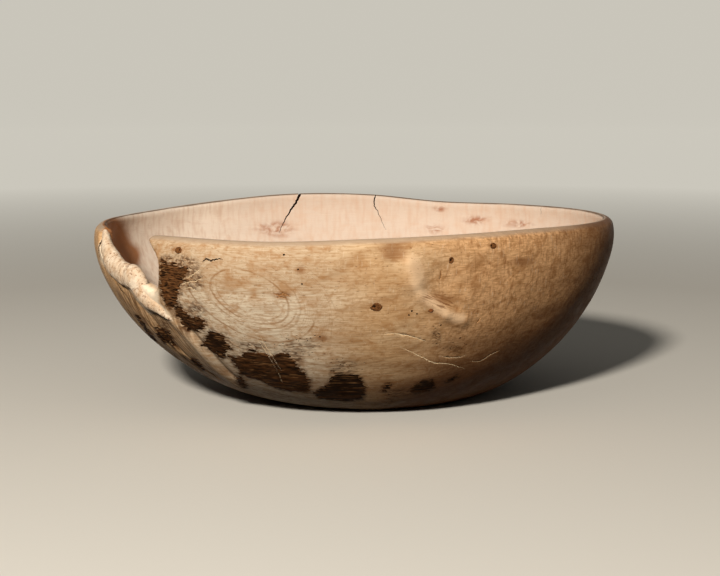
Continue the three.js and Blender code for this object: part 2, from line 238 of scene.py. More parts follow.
def oval_at(oval, bearing):
    """Reach of an oval of a length and a width."""
    turn = np.radians(bearing)
    return 1 / np.hypot(np.cos(turn) * 2 / oval[0], np.sin(turn) * 2 / oval[1])


def thickness_at(bearing):
    """Thickness of the wall at its bulge."""
    return RIM_THICKNESS + NOTCH_SWELL * beside(bearing, NOTCH_BEARING, NOTCH_SWELL_SPREAD)


def wall_radius(bearing, height, inner):
    """How far the outer or the inner face of the wall is from the foot's middle."""
    bulge = rim_at(bearing) - BULGE_BELOW_RIM
    floor = FLOOR_THICKNESS if inner else 0
    start = oval_at(HOLLOW_OVAL if inner else FOOT_OVAL, bearing)
    widest = around(REACHES, bearing) - (thickness_at(bearing) if inner else 0)
    climb = np.clip((height - floor) / (bulge - floor), 0, 1)
    swell = (1 - (1 - climb) ** WALL_ROUNDNESS) ** (1 / WALL_ROUNDNESS)
    lean = np.clip((height - bulge) / BULGE_BELOW_RIM, 0, 1)
    return start + (widest - start) * swell - RIM_DRAWN_IN * lean ** 2


def plain_wall(bearing, height, inner=False):
    """Points on the wall's plain face."""
    bearing = np.asarray(bearing, float)
    height = np.asarray(height, float)
    radius = wall_radius(bearing, height, inner)
    turn = np.radians(bearing)
    return np.stack([radius * np.cos(turn), radius * np.sin(turn), height + 0 * turn], axis=-1)


def wall_normal(bearing, height, inner=False):
    """Direction out of the wood, by small steps along and up the wall."""
    ahead, behind = (plain_wall(bearing + step, height, inner) for step in (SLOPE_STEP, -SLOPE_STEP))
    above, below = (plain_wall(bearing, height + step, inner) for step in (SLOPE_STEP, -SLOPE_STEP))
    normal = np.cross(ahead - behind, above - below)
    normal /= np.linalg.norm(normal, axis=-1, keepdims=True)
    return -normal if inner else normal


every_degree = plain_wall(np.arange(FULL_TURN), RIM_HEIGHT - BULGE_BELOW_RIM)
shell_low, shell_high = (np.array(corner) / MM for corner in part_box("bowl_shell"))
FOOT_MIDDLE = (shell_low + shell_high) / 2 - (every_degree.min(axis=0) + every_degree.max(axis=0)) / 2
FOOT_MIDDLE[2] = 0


def to_part(points):
    """Millimetres from the foot's middle to metres in the part's frame."""
    return (np.asarray(points) + FOOT_MIDDLE) * MM


print("The foot's middle lies at", FOOT_MIDDLE.round(2), "mm in the part's frame")

# %% [markdown]
# ## Random unevenness
# Hand-hewn wood is never quite even. A coarse lattice of seeded random values, blended smoothly between
# its corners, gives lumps of any size and any stretch. It is used for the wall, the ragged bark and the
# knots alike.

# %% Random unevenness
LATTICE = 64


def eased(share):
    """A share from 0 to 1 with a soft start and a soft end."""
    return share * share * (3 - 2 * share)


def lumps(points, size, seed):
    """Smooth random values from -1 to 1 by place alone, with one spacing or one for each axis."""
    cells = np.asarray(points, float) / size
    axes = cells.shape[1]
    lattice = np.random.default_rng(seed).uniform(-1, 1, (LATTICE,) * axes)
    whole = np.floor(cells).astype(int)
    share = eased(cells - whole)
    total = np.zeros(len(cells))
    for offset in np.ndindex(*(2,) * axes):
        weight = np.prod(np.where(offset, share, 1 - share), axis=1)
        total += weight * lattice[tuple(((whole + offset) % LATTICE).T)]
    return total


def smooth_path(points, steps=8):
    """A curve through a few points, each with any number of values."""
    points = np.asarray(points, float)
    padded = np.vstack([2 * points[0] - points[1], points, 2 * points[-1] - points[-2]])
    shares = np.linspace(0, 1, steps, endpoint=False)[:, None]
    pieces = [bend(*four, shares) for four in zip(padded, padded[1:], padded[2:], padded[3:])]
    return np.vstack(pieces + [points[-1:]])


def distance_to(points, targets):
    """Distance of each point to the nearest of some targets."""
    tree = KDTree(len(targets))
    for index, target in enumerate(targets):
        tree.insert(Vector(target), index)
    tree.balance()
    return np.array([tree.find(Vector(point))[2] for point in points])


print("Corners of the random lattice:", LATTICE, "along each axis")

# %% [markdown]
# ## Relief of the outer wall
# The knife followed the root, so the wall keeps the root's own relief: a swirl where a branch grew, with a
# hollow and a bright ridge under it, a fold that runs down from the notch, and shallow grooves in the
# flank on the left. Each is a path on the wall with a height and a width. A positive height stands out, a
# negative one is cut in.

# %% Relief of the outer wall
SWIRL_PLACE = (286, 109)
SWIRL_RADIUS = 17
SWIRL_DEPTH = 2.4
# Each path has a height and a half width in mm, and bearings and heights along it.
RELIEF_PATHS = {
    "swirl shoulder": (2.6, 7, [(278.2, 127), (279.2, 119), (280.4, 112)]),
    "swirl ridge": (2.4, 5, [(282.3, 102.5), (285.2, 95), (288.6, 87.5)]),
    "swirl ridge's end": (1.6, 5, [(290.5, 84.5), (293, 81.5), (295, 80.5)]),
    "swirl crease": (-0.9, 3, [(283, 105), (286, 101.5), (289.6, 96), (292, 91.5)]),
    "swirl valley": (-0.5, 6, [(275.5, 137.7), (275.9, 127), (276.6, 118)]),
    "swirl wrinkle": (-0.3, 2.6, [(290.5, 112), (294, 109), (297, 103), (297.5, 96)]),
    "right hollow": (-0.5, 8, [(297, 121), (301, 114), (305, 112)]),
    "fold": (-2.2, 3.6, [(222.6, 88), (222.8, 80), (224.4, 70), (226, 52), (226, 32)]),
    "lip swell": (1.5, 6, [(200.5, 122), (203.2, 114), (206.1, 110), (209.3, 107.6), (211.2, 104.7)]),
    "neck": (1.4, 8, [(212.5, 104), (214.5, 99), (216.5, 93)]),
    "grain band": (1.4, 5, [(219.5, 82), (221.9, 68), (223.2, 54.7), (222.6, 35), (221.5, 20)]),
    "flank groove 1": (-1.3, 2, [(203, 110), (206, 92), (209, 74), (210, 52), (211, 30)]),
    "flank groove 2": (-1.1, 1.6, [(207, 104), (210, 88), (213, 74), (214, 50), (216, 26)]),
    "flank groove 3": (-0.9, 2.2, [(198, 116), (199, 96), (201, 72), (203, 44), (206, 20)]),
    "flank rib": (1.1, 2.6, [(205, 101), (208, 84), (211.5, 66), (212.5, 46)]),
}
RELIEF_STEPS = 12
LUMP_SIZE = 42
LUMP_DEPTH = 1.1
SMALL_LUMP_SIZE = 15
SMALL_LUMP_DEPTH = 0.35
OUTER_SEEDS = (11, 12)
INNER_SEEDS = (21, 22)


def relief(places):
    """How far the wall stands out at places on it, in millimetres."""
    away = np.linalg.norm(places - plain_wall(*SWIRL_PLACE), axis=1)
    total = -SWIRL_DEPTH * np.exp(-(away / SWIRL_RADIUS) ** 2)
    for height, width, path in RELIEF_PATHS.values():
        bearings, heights = smooth_path(path, RELIEF_STEPS).T
        near = distance_to(places, plain_wall(bearings, heights))
        total += height * np.exp(-(near / width) ** 2)
    uneven = LUMP_DEPTH * (1 - lumps(places, LUMP_SIZE, OUTER_SEEDS[0]))
    uneven += SMALL_LUMP_DEPTH * (1 - lumps(places, SMALL_LUMP_SIZE, OUTER_SEEDS[1]))
    return total - uneven / 2


print("Relief paths:", ", ".join(RELIEF_PATHS))

# %% [markdown]
# ## The edge of the wall
# A boolean cut would leave the notch with edges as sharp as a saw's. Here the wall is two sheets of quads,
# outside and inside, which curl towards each other as they come near an edge and meet there, so the rim
# and the notch get the same worn round. The distance to the edge is the smaller one of the distances to
# the rim and to the notch's outline, with a soft blend between them.

# %% Edge of the wall
# The notch's outline, as ways along the wall and up from the rim at the notch.
NOTCH_OUTLINE = [(-64, 30), (-64, -1), (-57, -7.5), (-50.5, -15.5), (-42, -22.6), (-34, -28.2),
                 (-22, -32), (-9, -34), (0, -35), (9, -36), (15, -37), (19, -39.5), (22.5, -41.5),
                 (27, -40.5), (31.5, -36), (35.5, -28), (38, -17), (32, -9), (25, -2), (25, 30)]
RIM_ROUND = 5
NOTCH_ROUND = 3
CORNER_BLEND = 3
FAR_FROM_NOTCH = 85

notch_outline = np.vstack([NOTCH_OUTLINE[:1], smooth_path(NOTCH_OUTLINE[1:-1]), NOTCH_OUTLINE[-1:]])
MM_PER_DEGREE = math.radians(1) * float(around(REACHES, NOTCH_BEARING))


def outline_distance(points, outline):
    """Distance of each flat point to a closed outline, below 0 inside it."""
    start = outline
    span = np.roll(outline, -1, axis=0) - start
    offset = points[:, None] - start
    share = np.clip((offset * span).sum(axis=2) / (span * span).sum(axis=1), 0, 1)
    distance = np.linalg.norm(offset - span * share[..., None], axis=2).min(axis=1)
    ends = start + span
    crosses = (start[:, 1] > points[:, None, 1]) != (ends[:, 1] > points[:, None, 1])
    rise = np.where(span[:, 1] == 0, 1, span[:, 1])
    meets = start[:, 0] + span[:, 0] * (points[:, None, 1] - start[:, 1]) / rise
    inside = (crosses & (points[:, None, 0] < meets)).sum(axis=1) % 2 == 1
    return np.where(inside, -distance, distance)


def notch_distance(bearing, height):
    """Distance to the notch's outline, below 0 in the notch."""
    along = (bearing - NOTCH_BEARING) * MM_PER_DEGREE
    flat = np.column_stack([along, height - rim_at(NOTCH_BEARING)])
    near = np.abs(along) < FAR_FROM_NOTCH
    distance = np.full(len(flat), float(FAR_FROM_NOTCH))
    distance[near] = outline_distance(flat[near], notch_outline)
    return distance


def edge_distance(bearing, height):
    """Distance to the wall's edge and the round that the edge has there."""
    rim = rim_at(bearing) - height
    notch = notch_distance(bearing, height)
    share = np.clip(0.5 + (notch - rim) / (2 * CORNER_BLEND), 0, 1)
    distance = notch + (rim - notch) * share - CORNER_BLEND * share * (1 - share)
    return distance, NOTCH_ROUND + (RIM_ROUND - NOTCH_ROUND) * share


print("The notch's outline has", len(notch_outline), "points")

# %% [markdown]
# ## The wall as two sheets
# Each sheet is a grid of rows up the wall and columns around it. The columns stand closer on the near side
# and closest at the notch, and the rows closer at the rim, where the wall bends most. Quads outside the
# edge are left out, and those across it are drawn onto it. A disc closes each sheet, one as the foot and
# one as the floor of the hollow, which dips a little in the middle, as hand-hewn floors do.

# %% Points of a sheet
EDGE_TRIES = 4


def drawn_to_edge(bearing, height):
    """Moves places onto the wall's edge, down the slope of the distance to it."""
    for _ in range(EDGE_TRIES):
        distance = edge_distance(bearing, height)[0]
        slope_along = edge_distance(bearing + SLOPE_STEP / MM_PER_DEGREE, height)[0] - distance
        slope_up = edge_distance(bearing, height + SLOPE_STEP)[0] - distance
        steep = np.maximum(slope_along ** 2 + slope_up ** 2, (SLOPE_STEP / 4) ** 2)
        bearing = bearing - distance * SLOPE_STEP * slope_along / steep / MM_PER_DEGREE
        height = height - distance * SLOPE_STEP * slope_up / steep
    return bearing, height


def sheet(bearing, height, inner):
    """Points of the outer or the inner face, curled to the middle of the wall at its edge."""
    outside = plain_wall(bearing, height)
    outside = outside + wall_normal(bearing, height) * relief(outside)[:, None]
    inside = plain_wall(bearing, height, inner=True)
    hewn = LUMP_DEPTH * lumps(inside, LUMP_SIZE, INNER_SEEDS[0])
    hewn = hewn + SMALL_LUMP_DEPTH * lumps(inside, SMALL_LUMP_SIZE, INNER_SEEDS[1])
    inside = inside - wall_normal(bearing, height, inner=True) * (LUMP_DEPTH + hewn)[:, None] / 2
    distance, edge_round = edge_distance(bearing, height)
    short = np.clip(1 - distance / edge_round, 0, 1)
    curl = (1 - np.sqrt(1 - short ** 2))[:, None]
    face = inside if inner else outside
    return face + ((outside + inside) / 2 - face) * curl


# %% Rows and columns of the sheets
COLUMNS = 450
OUTER_ROWS = 84
INNER_LOW_ROWS = 34
SHARED_FROM = 0.66
RIM_ROWS = (11, 8.6, 6.6, 5, 3.7, 2.6, 1.7, 1, 0.45, 0.12, 0)
# Where columns stand closer: a bearing, a spread, and how many more there are.
NEAR_SIDE = (262, 56, 1.7)
NOTCH_SIDE = (214, 13, 3)
STEPS_PER_DEGREE = 10


def column_bearings():
    """Bearings of the columns, closer together on the near side and closest at the notch."""
    fine = np.linspace(0, FULL_TURN, STEPS_PER_DEGREE * FULL_TURN + 1)
    density = np.ones_like(fine)
    for middle, spread, extra in (NEAR_SIDE, NOTCH_SIDE):
        density += extra * np.exp(-((fine - middle) / spread) ** 2)
    reached = np.concatenate([[0], np.cumsum((density[1:] + density[:-1]) / 2)])
    return np.interp(np.arange(COLUMNS) / COLUMNS * reached[-1], reached, fine)


def climb_of(turns):
    """Share of the way up a wall at even turns along its curve."""
    return 1 - np.cos(turns) ** (2 / WALL_ROUNDNESS)


bearings = column_bearings()
bulges = rim_at(bearings) - BULGE_BELOW_RIM
outer_climbs = climb_of(np.linspace(0, math.pi / 2, OUTER_ROWS + 1))
shared_climbs = outer_climbs[outer_climbs >= SHARED_FROM]
rim_heights = [rim_at(bearings) - below for below in RIM_ROWS]
shared_heights = [bulges * climb for climb in shared_climbs] + rim_heights
outer_heights = [bulges * climb for climb in outer_climbs if climb < SHARED_FROM] + shared_heights
inner_top = (shared_climbs[0] * bulges.mean() - FLOOR_THICKNESS) / (bulges.mean() - FLOOR_THICKNESS)
last_turn = math.acos((1 - inner_top) ** (WALL_ROUNDNESS / 2))
inner_shares = climb_of(np.linspace(0, last_turn, INNER_LOW_ROWS, endpoint=False)) / inner_top
inner_heights = [FLOOR_THICKNESS + (shared_heights[0] - FLOOR_THICKNESS) * share for share in inner_shares]
inner_heights = inner_heights + shared_heights
print("Rows outside and inside:", len(outer_heights), len(inner_heights))

# %% Mesh of the wall
FOOT_SHARES = (0.9, 0.75, 0.55, 0.35, 0.15, 0)
FLOOR_DIP = 1.5
EDGE_TOLERANCE = 0.001


def sheet_mesh(rows, inner):
    """Points and quads of one sheet, from its rows of heights."""
    bearing = np.tile(bearings, len(rows))
    height = np.concatenate(rows)
    quads = ring_quads(len(rows), COLUMNS)
    distance = edge_distance(bearing, height)[0]
    quads = quads[(distance[quads] > EDGE_TOLERANCE).any(axis=1)]
    crossing = np.zeros(len(height), bool)
    crossing[quads.ravel()] = True
    crossing &= distance < 0
    bearing[crossing], height[crossing] = drawn_to_edge(bearing[crossing], height[crossing])
    return sheet(bearing, height, inner), quads[:, ::-1] if inner else quads


def floor_disc(ring, dip):
    """Rings that close a sheet at its floor, drawn in to the middle and dipping there."""
    rings = [ring]
    level = ring[:, 2].mean()
    for share in FOOT_SHARES:
        inward = ring * share
        inward[:, 2] += level * (1 - share) - dip * (1 - share ** 2)
        rings.append(inward)
    return np.vstack(rings), ring_quads(len(rings), COLUMNS)[:, ::-1]


outer_block = sheet_mesh(outer_heights, inner=False)
inner_block = sheet_mesh(inner_heights, inner=True)
foot_block = floor_disc(outer_block[0][:COLUMNS] * (1, 1, 0), dip=0)
floor_block = floor_disc(inner_block[0][:COLUMNS].copy(), dip=FLOOR_DIP)
outer_block[0][:COLUMNS, 2] = 0
wall_points, wall_quads = only_used(*joined([outer_block, inner_block, foot_block, floor_block]))
shell = mesh_object("bowl_wall", to_part(wall_points), wall_quads, [])
clean(shell.data)
print("Bowl wall:", len(shell.data.vertices), "points,", len(shell.data.polygons), "faces")

# %% [markdown]
# ## Finishes
# Each finish is built from the same few patterns: noise of a size in millimetres, drawn out along the
# root's length for fibres, marks that the mesh carries as numbers on its points, and lines at even steps
# of the growth rings. A finish is a ground colour with thinner colours laid over it through these masks,
# as stain and wear lie on real wood. Painted pictures would be another way, but masks hold up close and
# from every side.

# %% Patterns for finishes
FIBRE = (14, 4, 1)
CURL = (1, 1.2, 7)
EVEN = (1, 1, 1)


def pattern(tree, size, low=0, high=1, stretch=EVEN, detail=3, shift=0, twist=0, lean=0):
    """A mask of noise of a size in mm, drawn out along the axes or a lean, rising between two levels."""
    place = add(tree, "ShaderNodeTexCoord", out="Object")
    if lean:
        turned = {"Vector": place, "Angle": lean}
        place = add(tree, "ShaderNodeVectorRotate", turned, rotation_type="Y_AXIS")
    drawn = [1 / factor for factor in stretch]
    moved = add(tree, "ShaderNodeMapping", {"Vector": place, "Location": (shift,) * 3, "Scale": drawn})
    settings = {"Vector": moved, "Scale": 1 / (size * MM), "Detail": detail, "Distortion": twist}
    noise = add(tree, "ShaderNodeTexNoise", settings)
    return add(tree, "ShaderNodeMapRange", {"Value": noise, "From Min": low, "From Max": high})


def wall_fibres(tree, along, up, low, high):
    """A mask of fibres down the wall, from the place along and up the wall that the mesh carries, in mm."""
    place = add(tree, "ShaderNodeAttribute", out="Vector", attribute_name="wall_place")
    drawn = add(tree, "ShaderNodeMapping", {"Vector": place, "Scale": (1 / along, 1 / up, 1)})
    noise = add(tree, "ShaderNodeTexNoise", {"Vector": drawn, "Scale": 1, "Detail": 4})
    return add(tree, "ShaderNodeMapRange", {"Value": noise, "From Min": low, "From Max": high})


def marked(tree, name, low, high, ragged=0, size=4):
    """A mask from a mark on the mesh, rising between two levels of it, with an edge broken up by noise."""
    mark = add(tree, "ShaderNodeAttribute", out="Fac", attribute_name=name)
    noise = pattern(tree, size, stretch=FIBRE, detail=5)
    broken = add(tree, "ShaderNodeMath", {0: noise, 1: ragged, 2: mark}, operation="MULTIPLY_ADD")
    ends = {"Value": broken, "From Min": low + ragged / 2, "From Max": high + ragged / 2}
    return add(tree, "ShaderNodeMapRange", ends, interpolation_type="SMOOTHSTEP")


# %% Finishes from layers
WEAR_SIZE = 9
WOOD_GLOSS = 0.025
RELIEF_STRENGTH = 0.6


def finish(name, ground, layers, roughness, relief_size, relief_depth, stretch=EVEN, gloss=WOOD_GLOSS):
    """A material from a ground colour, layers over it, a roughness range, a relief and a gloss.

    Each layer has a colour, a strength and the masks that it shows through. Sizes are in mm.
    """
    material = bpy.data.materials.new(name)
    material.use_nodes = True
    tree = material.node_tree
    shader = tree.nodes["Principled BSDF"]
    shade = colour(ground)
    for over, share, *masks in layers(tree):
        for mask in masks:
            share = add(tree, "ShaderNodeMath", {0: mask, 1: share}, operation="MULTIPLY")
        shade = add(tree, "ShaderNodeMix", {0: share, 6: shade, 7: colour(over)}, 2, data_type="RGBA")
    tree.links.new(shade, shader.inputs["Base Color"])
    wear = pattern(tree, WEAR_SIZE, 0.3, 0.7, detail=4)
    sheen = add(tree, "ShaderNodeMapRange", {"Value": wear, "To Min": roughness[0], "To Max": roughness[1]})
    tree.links.new(sheen, shader.inputs["Roughness"])
    shader.inputs["Specular IOR Level"].default_value = gloss
    grain = pattern(tree, relief_size, stretch=stretch, detail=4)
    raised = {"Height": grain, "Strength": RELIEF_STRENGTH, "Distance": relief_depth * MM}
    tree.links.new(add(tree, "ShaderNodeBump", raised), shader.inputs["Normal"])
    return material


print("Fibres are drawn out", FIBRE, "times along the three axes")

# %% [markdown]
# ### Root wood, waxed
# Pale tan wood gone golden with wax, and worn nearly matt. Its fine lines follow the growth rings, and a
# few darker rings around an old branch make an oval figure on the near wall. It is greyer and paler on the
# left, redder on the right, and stained near bark and in its hollows. The hollow is creamy. Painted shade
# darkens it towards the foot, at the right end, behind the notch and in the slit at the roll's knob, and
# is part of a dark line along the rim's inner edge. Painted light pales the left of the hollow, and a
# painted highlight runs along the swirl's ridge.

# %% Lines of the growth rings
# Most single rings are too fine to show in the render, so each line stands for several of them.
RING_SPACING = 11.9
RING_WIDTH = 1.6
RING_WANDER = 12
RING_NOISE = 14
FIGURE_WANDER = 0.16
FIGURE_NOISE = 12
FIGURE_FADE = (-0.25, 0.35)
# Each line of the ring figure has a share of its size, a half width, a strength, and 1 above or -1 below.
FIGURE_LINES = ((1, 0.045, 0.75, 1), (0.86, 0.035, 0.45, -1), (1.02, 0.045, 0.7, -1), (1.2, 0.04, 0.5, -1),
                (1.72, 0.05, 0.8, -1))


def ring_lines(tree):
    """A mask of thin lines at even steps of the growth rings, which wander a little."""
    rings = add(tree, "ShaderNodeAttribute", out="Fac", attribute_name="rings")
    noise = pattern(tree, RING_NOISE, stretch=FIBRE)
    moved = add(tree, "ShaderNodeMath", {0: noise, 1: RING_WANDER, 2: rings}, operation="MULTIPLY_ADD")
    steps = add(tree, "ShaderNodeMath", {0: moved, 1: RING_SPACING}, operation="DIVIDE")
    away = add(tree, "ShaderNodeMath", {0: steps, 1: 0.5}, operation="PINGPONG")
    ends = {"Value": away, "From Min": RING_WIDTH / RING_SPACING, "From Max": 0}
    return add(tree, "ShaderNodeMapRange", ends)


def figure_line(tree, level, width, side):
    """Masks of a soft line at a share of the ring figure's size, and of its upper or lower side."""
    share = add(tree, "ShaderNodeAttribute", out="Fac", attribute_name="figure")
    noise = pattern(tree, FIGURE_NOISE, -1, 1)
    wavy = add(tree, "ShaderNodeMath", {0: noise, 1: FIGURE_WANDER, 2: share}, operation="MULTIPLY_ADD")
    past = add(tree, "ShaderNodeMath", {0: wavy, 1: level + 0.75 * FIGURE_WANDER}, operation="SUBTRACT")
    away = add(tree, "ShaderNodeMath", {0: past}, operation="ABSOLUTE")
    line = add(tree, "ShaderNodeMapRange", {"Value": away, "From Min": width, "From Max": 0})
    up = add(tree, "ShaderNodeAttribute", out="Fac", attribute_name="figure_up")
    start, end = (side * fade for fade in FIGURE_FADE)
    return line, add(tree, "ShaderNodeMapRange", {"Value": up, "From Min": start, "From Max": end})


# %% Root wood
WRINKLE_LEAN = math.radians(-27)


def root_wood_layers(tree):
    """Colours over the wood, from the ground up."""
    # Real fibres and pores are finer than a pixel, so they are drawn as coarse as they need to show.
    fibres = pattern(tree, 0.9, 0.42, 0.72, FIBRE, 5)
    pores = pattern(tree, 0.8, 0.64, 0.74, (4, 1.2, 1), 3, 13)
    blotches = pattern(tree, 34, 0.45, 0.6, (1.5, 1, 1), 4, 3)
    clouds = pattern(tree, 8, 0.5, 0.7, (2, 1, 1), 6, 7, 0.8)
    mottle = pattern(tree, 2.6, 0.5, 0.66, (1.6, 1, 1), 6, 29, 0.6)
    scuffs = pattern(tree, 1, 0.6, 0.76, (1.5, 2, 8), 4, 17)
    curls = pattern(tree, 1.6, 0.5, 0.8, CURL, 4)
    inner_curls = pattern(tree, 3.5, 0.45, 0.7, CURL, 5, 41)
    smears = pattern(tree, 2.4, 0.36, 0.6, (2.5, 1, 1), 6, 19, 1)
    splotches = pattern(tree, 6, 0.38, 0.62, (1.5, 1.5, 1), 6, 43, 1)
    wrinkles = pattern(tree, 1.1, 0.48, 0.58, (10, 10, 1), 2, 37, 0.2, WRINKLE_LEAN)
    broken = pattern(tree, 18, 0.35, 0.5, shift=23)
    within = marked(tree, "inside", 0.5, 0.9)
    ruddy = marked(tree, "ruddy", 0, 1, 0.6, 12)
    flank = marked(tree, "flank", 0.2, 0.8, 0.6, 6)
    figure = [("#94622F", strength, *figure_line(tree, level, width, side), broken)
              for level, width, strength, side in FIGURE_LINES]
    return [
        ("#CC9D6A", 0.45, blotches),
        ("#F2BC86", 0.95, ruddy),
        ("#EADABF", 0.9, marked(tree, "fair", 0.1, 0.9, 0.3, 12)),
        ("#BC9C78", 0.6, marked(tree, "high", 0.1, 1, 0.6, 5)),
        ("#B07C49", 0.6, clouds),
        ("#A87747", 0.5, mottle),
        ("#A67748", 0.65, fibres),
        ("#A06C40", 0.45, ruddy, clouds),
        ("#8E5C33", 0.9, ruddy, curls),
        ("#8F6439", 0.3, ring_lines(tree)),
        # Painted shade: darker on the low wall, fading out again just above the foot.
        ("#784C28", 0.85, marked(tree, "low", 0.1, 0.9, 0.5, 9)),
        ("#8E5E36", 0.8, marked(tree, "stain", 0.1, 1, 0.9, 6)),
        ("#F0DEC2", 0.3, scuffs),
        # Painted highlight along the swirl's shoulder, its ridge and the ridge's end.
        ("#FFD9AE", 0.7, marked(tree, "painted_ridge_highlight", 0.05, 1, 0.6, 3)),
        ("#7E4F2A", 0.75, marked(tree, "wrinkled", 0.1, 0.9, 0.5, 4), wrinkles),
        ("#6E4425", 0.75, pores),
        *figure,
        ("#B49C84", 0.8, marked(tree, "rim", 0.1, 0.8, 0.6, 5)),
        # Painted shade: darker at the right end and low on the right, which turn away from the lamp.
        ("#5E3212", 0.8, marked(tree, "end", 0.1, 0.9, 0.5, 9)),
        ("#D9C6B5", 0.94, marked(tree, "inside", 0.35, 0.8, 0.2, 6)),
        # Painted light: the left side of the hollow is painted paler.
        ("#F4E3D0", 0.9, marked(tree, "scraped", 0.1, 0.9, 0.4, 12)),
        ("#D6B69C", 0.4, within, clouds),
        ("#D0AC90", 0.45, within, inner_curls),
        # Painted shadow on the inner wall behind the notch.
        ("#A0632F", 0.9, marked(tree, "painted_notch_shade", 0.1, 0.8, 0.3, 8)),
        ("#A2694A", 0.85, marked(tree, "inner_stain", 0.1, 0.9, 0.8, 7), splotches),
        ("#B8936A", 0.5, flank),
        ("#5E3F24", 0.85, flank, wall_fibres(tree, 1.3, 16, 0.45, 0.6)),
        ("#F6E2C6", 0.95, marked(tree, "pale", 0.15, 0.8, 0.5, 3)),
        # Dark line along the rim's inner edge: partly grime, partly painted shade.
        ("#54391F", 0.85, marked(tree, "rim_dirt_and_shade_line", 0.3, 0.9, 0.5, 4)),
        # Painted shadow in the slit along the knob of the roll.
        ("#4A2A14", 0.85, marked(tree, "slit", 0.2, 0.8, 0.4, 2)),
        ("#5A3A1E", 0.7, marked(tree, "speckled", 0.1, 0.9, 0.8, 3), smears),
        ("#54351D", 0.85, marked(tree, "haze", 0.1, 0.9, 0.8, 3), smears),
    ]


# Old wax, worn by hands, gives the eye a soft sheen and no mirrored spots.
root_wood = finish("waxed_root_wood", "#DEBB90", root_wood_layers, (0.36, 0.55), 1.2, 0.25, FIBRE)
print("Waxed root wood has", len(root_wood.node_tree.nodes), "nodes")

# %% [markdown]
# ### Wound wood, bark, knots, resin and bare cuts
# Wound wood is pale, bare and rubbed, with creases across the roll. Bark is nearly black with scraped
# brown streaks. Dead knots are dark and checked. The bead of resin is clear amber. A scratch shows fresh
# wood, a wrinkle shows stained wood, and a crack shows old dust and shade.

# %% Other finishes
CREASE_SPACING = 1.6
CREASE_WANDER = 6
STREAK_SIZE = 1.5
RESIN_CLEARNESS = 0.4


def wound_wood_layers(tree):
    """Pale blotches, creases across the roll with gaps in them, and small dark flecks."""
    reached = add(tree, "ShaderNodeAttribute", out="Fac", attribute_name="along_roll")
    wander = pattern(tree, 7, detail=4)
    sums = {0: wander, 1: CREASE_WANDER * MM, 2: reached}
    wandered = add(tree, "ShaderNodeMath", sums, operation="MULTIPLY_ADD")
    settings = {"W": wandered, "Scale": 1 / (CREASE_SPACING * MM), "Detail": 4}
    across = add(tree, "ShaderNodeTexNoise", settings, noise_dimensions="1D")
    creases = add(tree, "ShaderNodeMapRange", {"Value": across, "From Min": 0.56, "From Max": 0.7})
    return [
        ("#D0AE88", 0.6, pattern(tree, 12, 0.4, 0.65, shift=2)),
        ("#BE9670", 0.6, pattern(tree, 3, 0.45, 0.65, (1, 1, 1.6), 6, 5)),
        ("#96643F", 0.85, creases, pattern(tree, 5, 0.45, 0.6, shift=11)),
        ("#7E4A2B", 0.8, pattern(tree, 1.8, 0.58, 0.68, shift=9)),
    ]


def bark_layers(tree):
    """Brown and pale streaks along the fibres, black blots, and brown wood where the bark is worn."""
    worn = add(tree, "ShaderNodeAttribute", out="Fac", attribute_name="worn")
    return [
        ("#4E301A", 1, pattern(tree, 2.4, 0.5, 0.68, FIBRE, 5)),
        ("#8A6440", 0.9, pattern(tree, 1.2, 0.57, 0.66, FIBRE, 4, 4)),
        ("#120904", 0.6, pattern(tree, 5, 0.55, 0.7, shift=6)),
        ("#8C5C36", 0.95, worn, pattern(tree, 1, 0.4, 0.7, (8, 3, 1), 6, 8)),
    ]


def knot_layers(tree):
    """Brown rings, and a black eye."""
    return [
        ("#82542F", 1, pattern(tree, 1.2, 0.4, 0.65, shift=1)),
        ("#170D06", 0.95, marked(tree, "eye", 0.3, 0.8, 0.4, 1)),
    ]


def resin_layers(tree):
    """Darker clouds in the amber."""
    return [("#8A4A12", 1, pattern(tree, 1, 0.35, 0.7, shift=3))]


def streaks(over, low=0.4):
    """Layers of a bare cut: streaks of one colour along the fibres."""
    return lambda tree: [(over, 1, pattern(tree, STREAK_SIZE, low, 0.7, FIBRE, 4))]


# Bare and rubbed, so it is the palest wood and quite matt.
wound_wood = finish("bare_wound_wood", "#EAD6BC", wound_wood_layers, (0.45, 0.65), 1.6, 0.3)
# Scraped and dry, so it is nearly black and swallows light.
bark = finish("scraped_bark", "#170D07", bark_layers, (0.5, 0.8), 1.1, 0.2, FIBRE, 0.02)
# Hard end grain, so it is darker than the wood around it.
knot_wood = finish("dead_knot_wood", "#5F3C20", knot_layers, (0.45, 0.7), 0.8, 0.3)
# Set resin is smooth, so it alone glints, and some light goes through it.
resin = finish("amber_resin", "#B8681C", resin_layers, (0.12, 0.25), 0.8, 0.05, gloss=0.5)
resin.node_tree.nodes["Principled BSDF"].inputs["Transmission Weight"].default_value = RESIN_CLEARNESS
# Torn fibres show pale and matt, stained ones brown, and a crack nearly black, for old dust and painted
# shade.
fresh_wood = finish("fresh_scratched_wood", "#EBD3AE", streaks("#D9BC93"), (0.6, 0.75), 0.8, 0.1)
stained_wood = finish("stained_wood_in_wrinkles", "#97673C", streaks("#B98A5A"), (0.45, 0.6), 0.8, 0.1)
crack_dust_and_shade = finish("old_dust_and_painted_shade_in_cracks", "#20130A", streaks("#3A2413", 0.45), (0.8, 0.95), 0.8, 0.1)
print("Finishes:", ", ".join(sorted(material.name for material in bpy.data.materials)))

# %% [markdown]
# ## Places read from the photograph
# Small features have no measured size on the bowl. Their places were read off the photograph as pixels,
# and a ray from the eye through such a pixel finds the place on the wall. This keeps each one where the
# picture has it.

# %% Places from the photograph
wall_tree = BVHTree.FromPolygons([vertex.co for vertex in shell.data.vertices],
                                 [list(polygon.vertices) for polygon in shell.data.polygons])
IMAGE_MIDDLE = (IMAGE_WIDTH / 2, IMAGE_HEIGHT / 2)


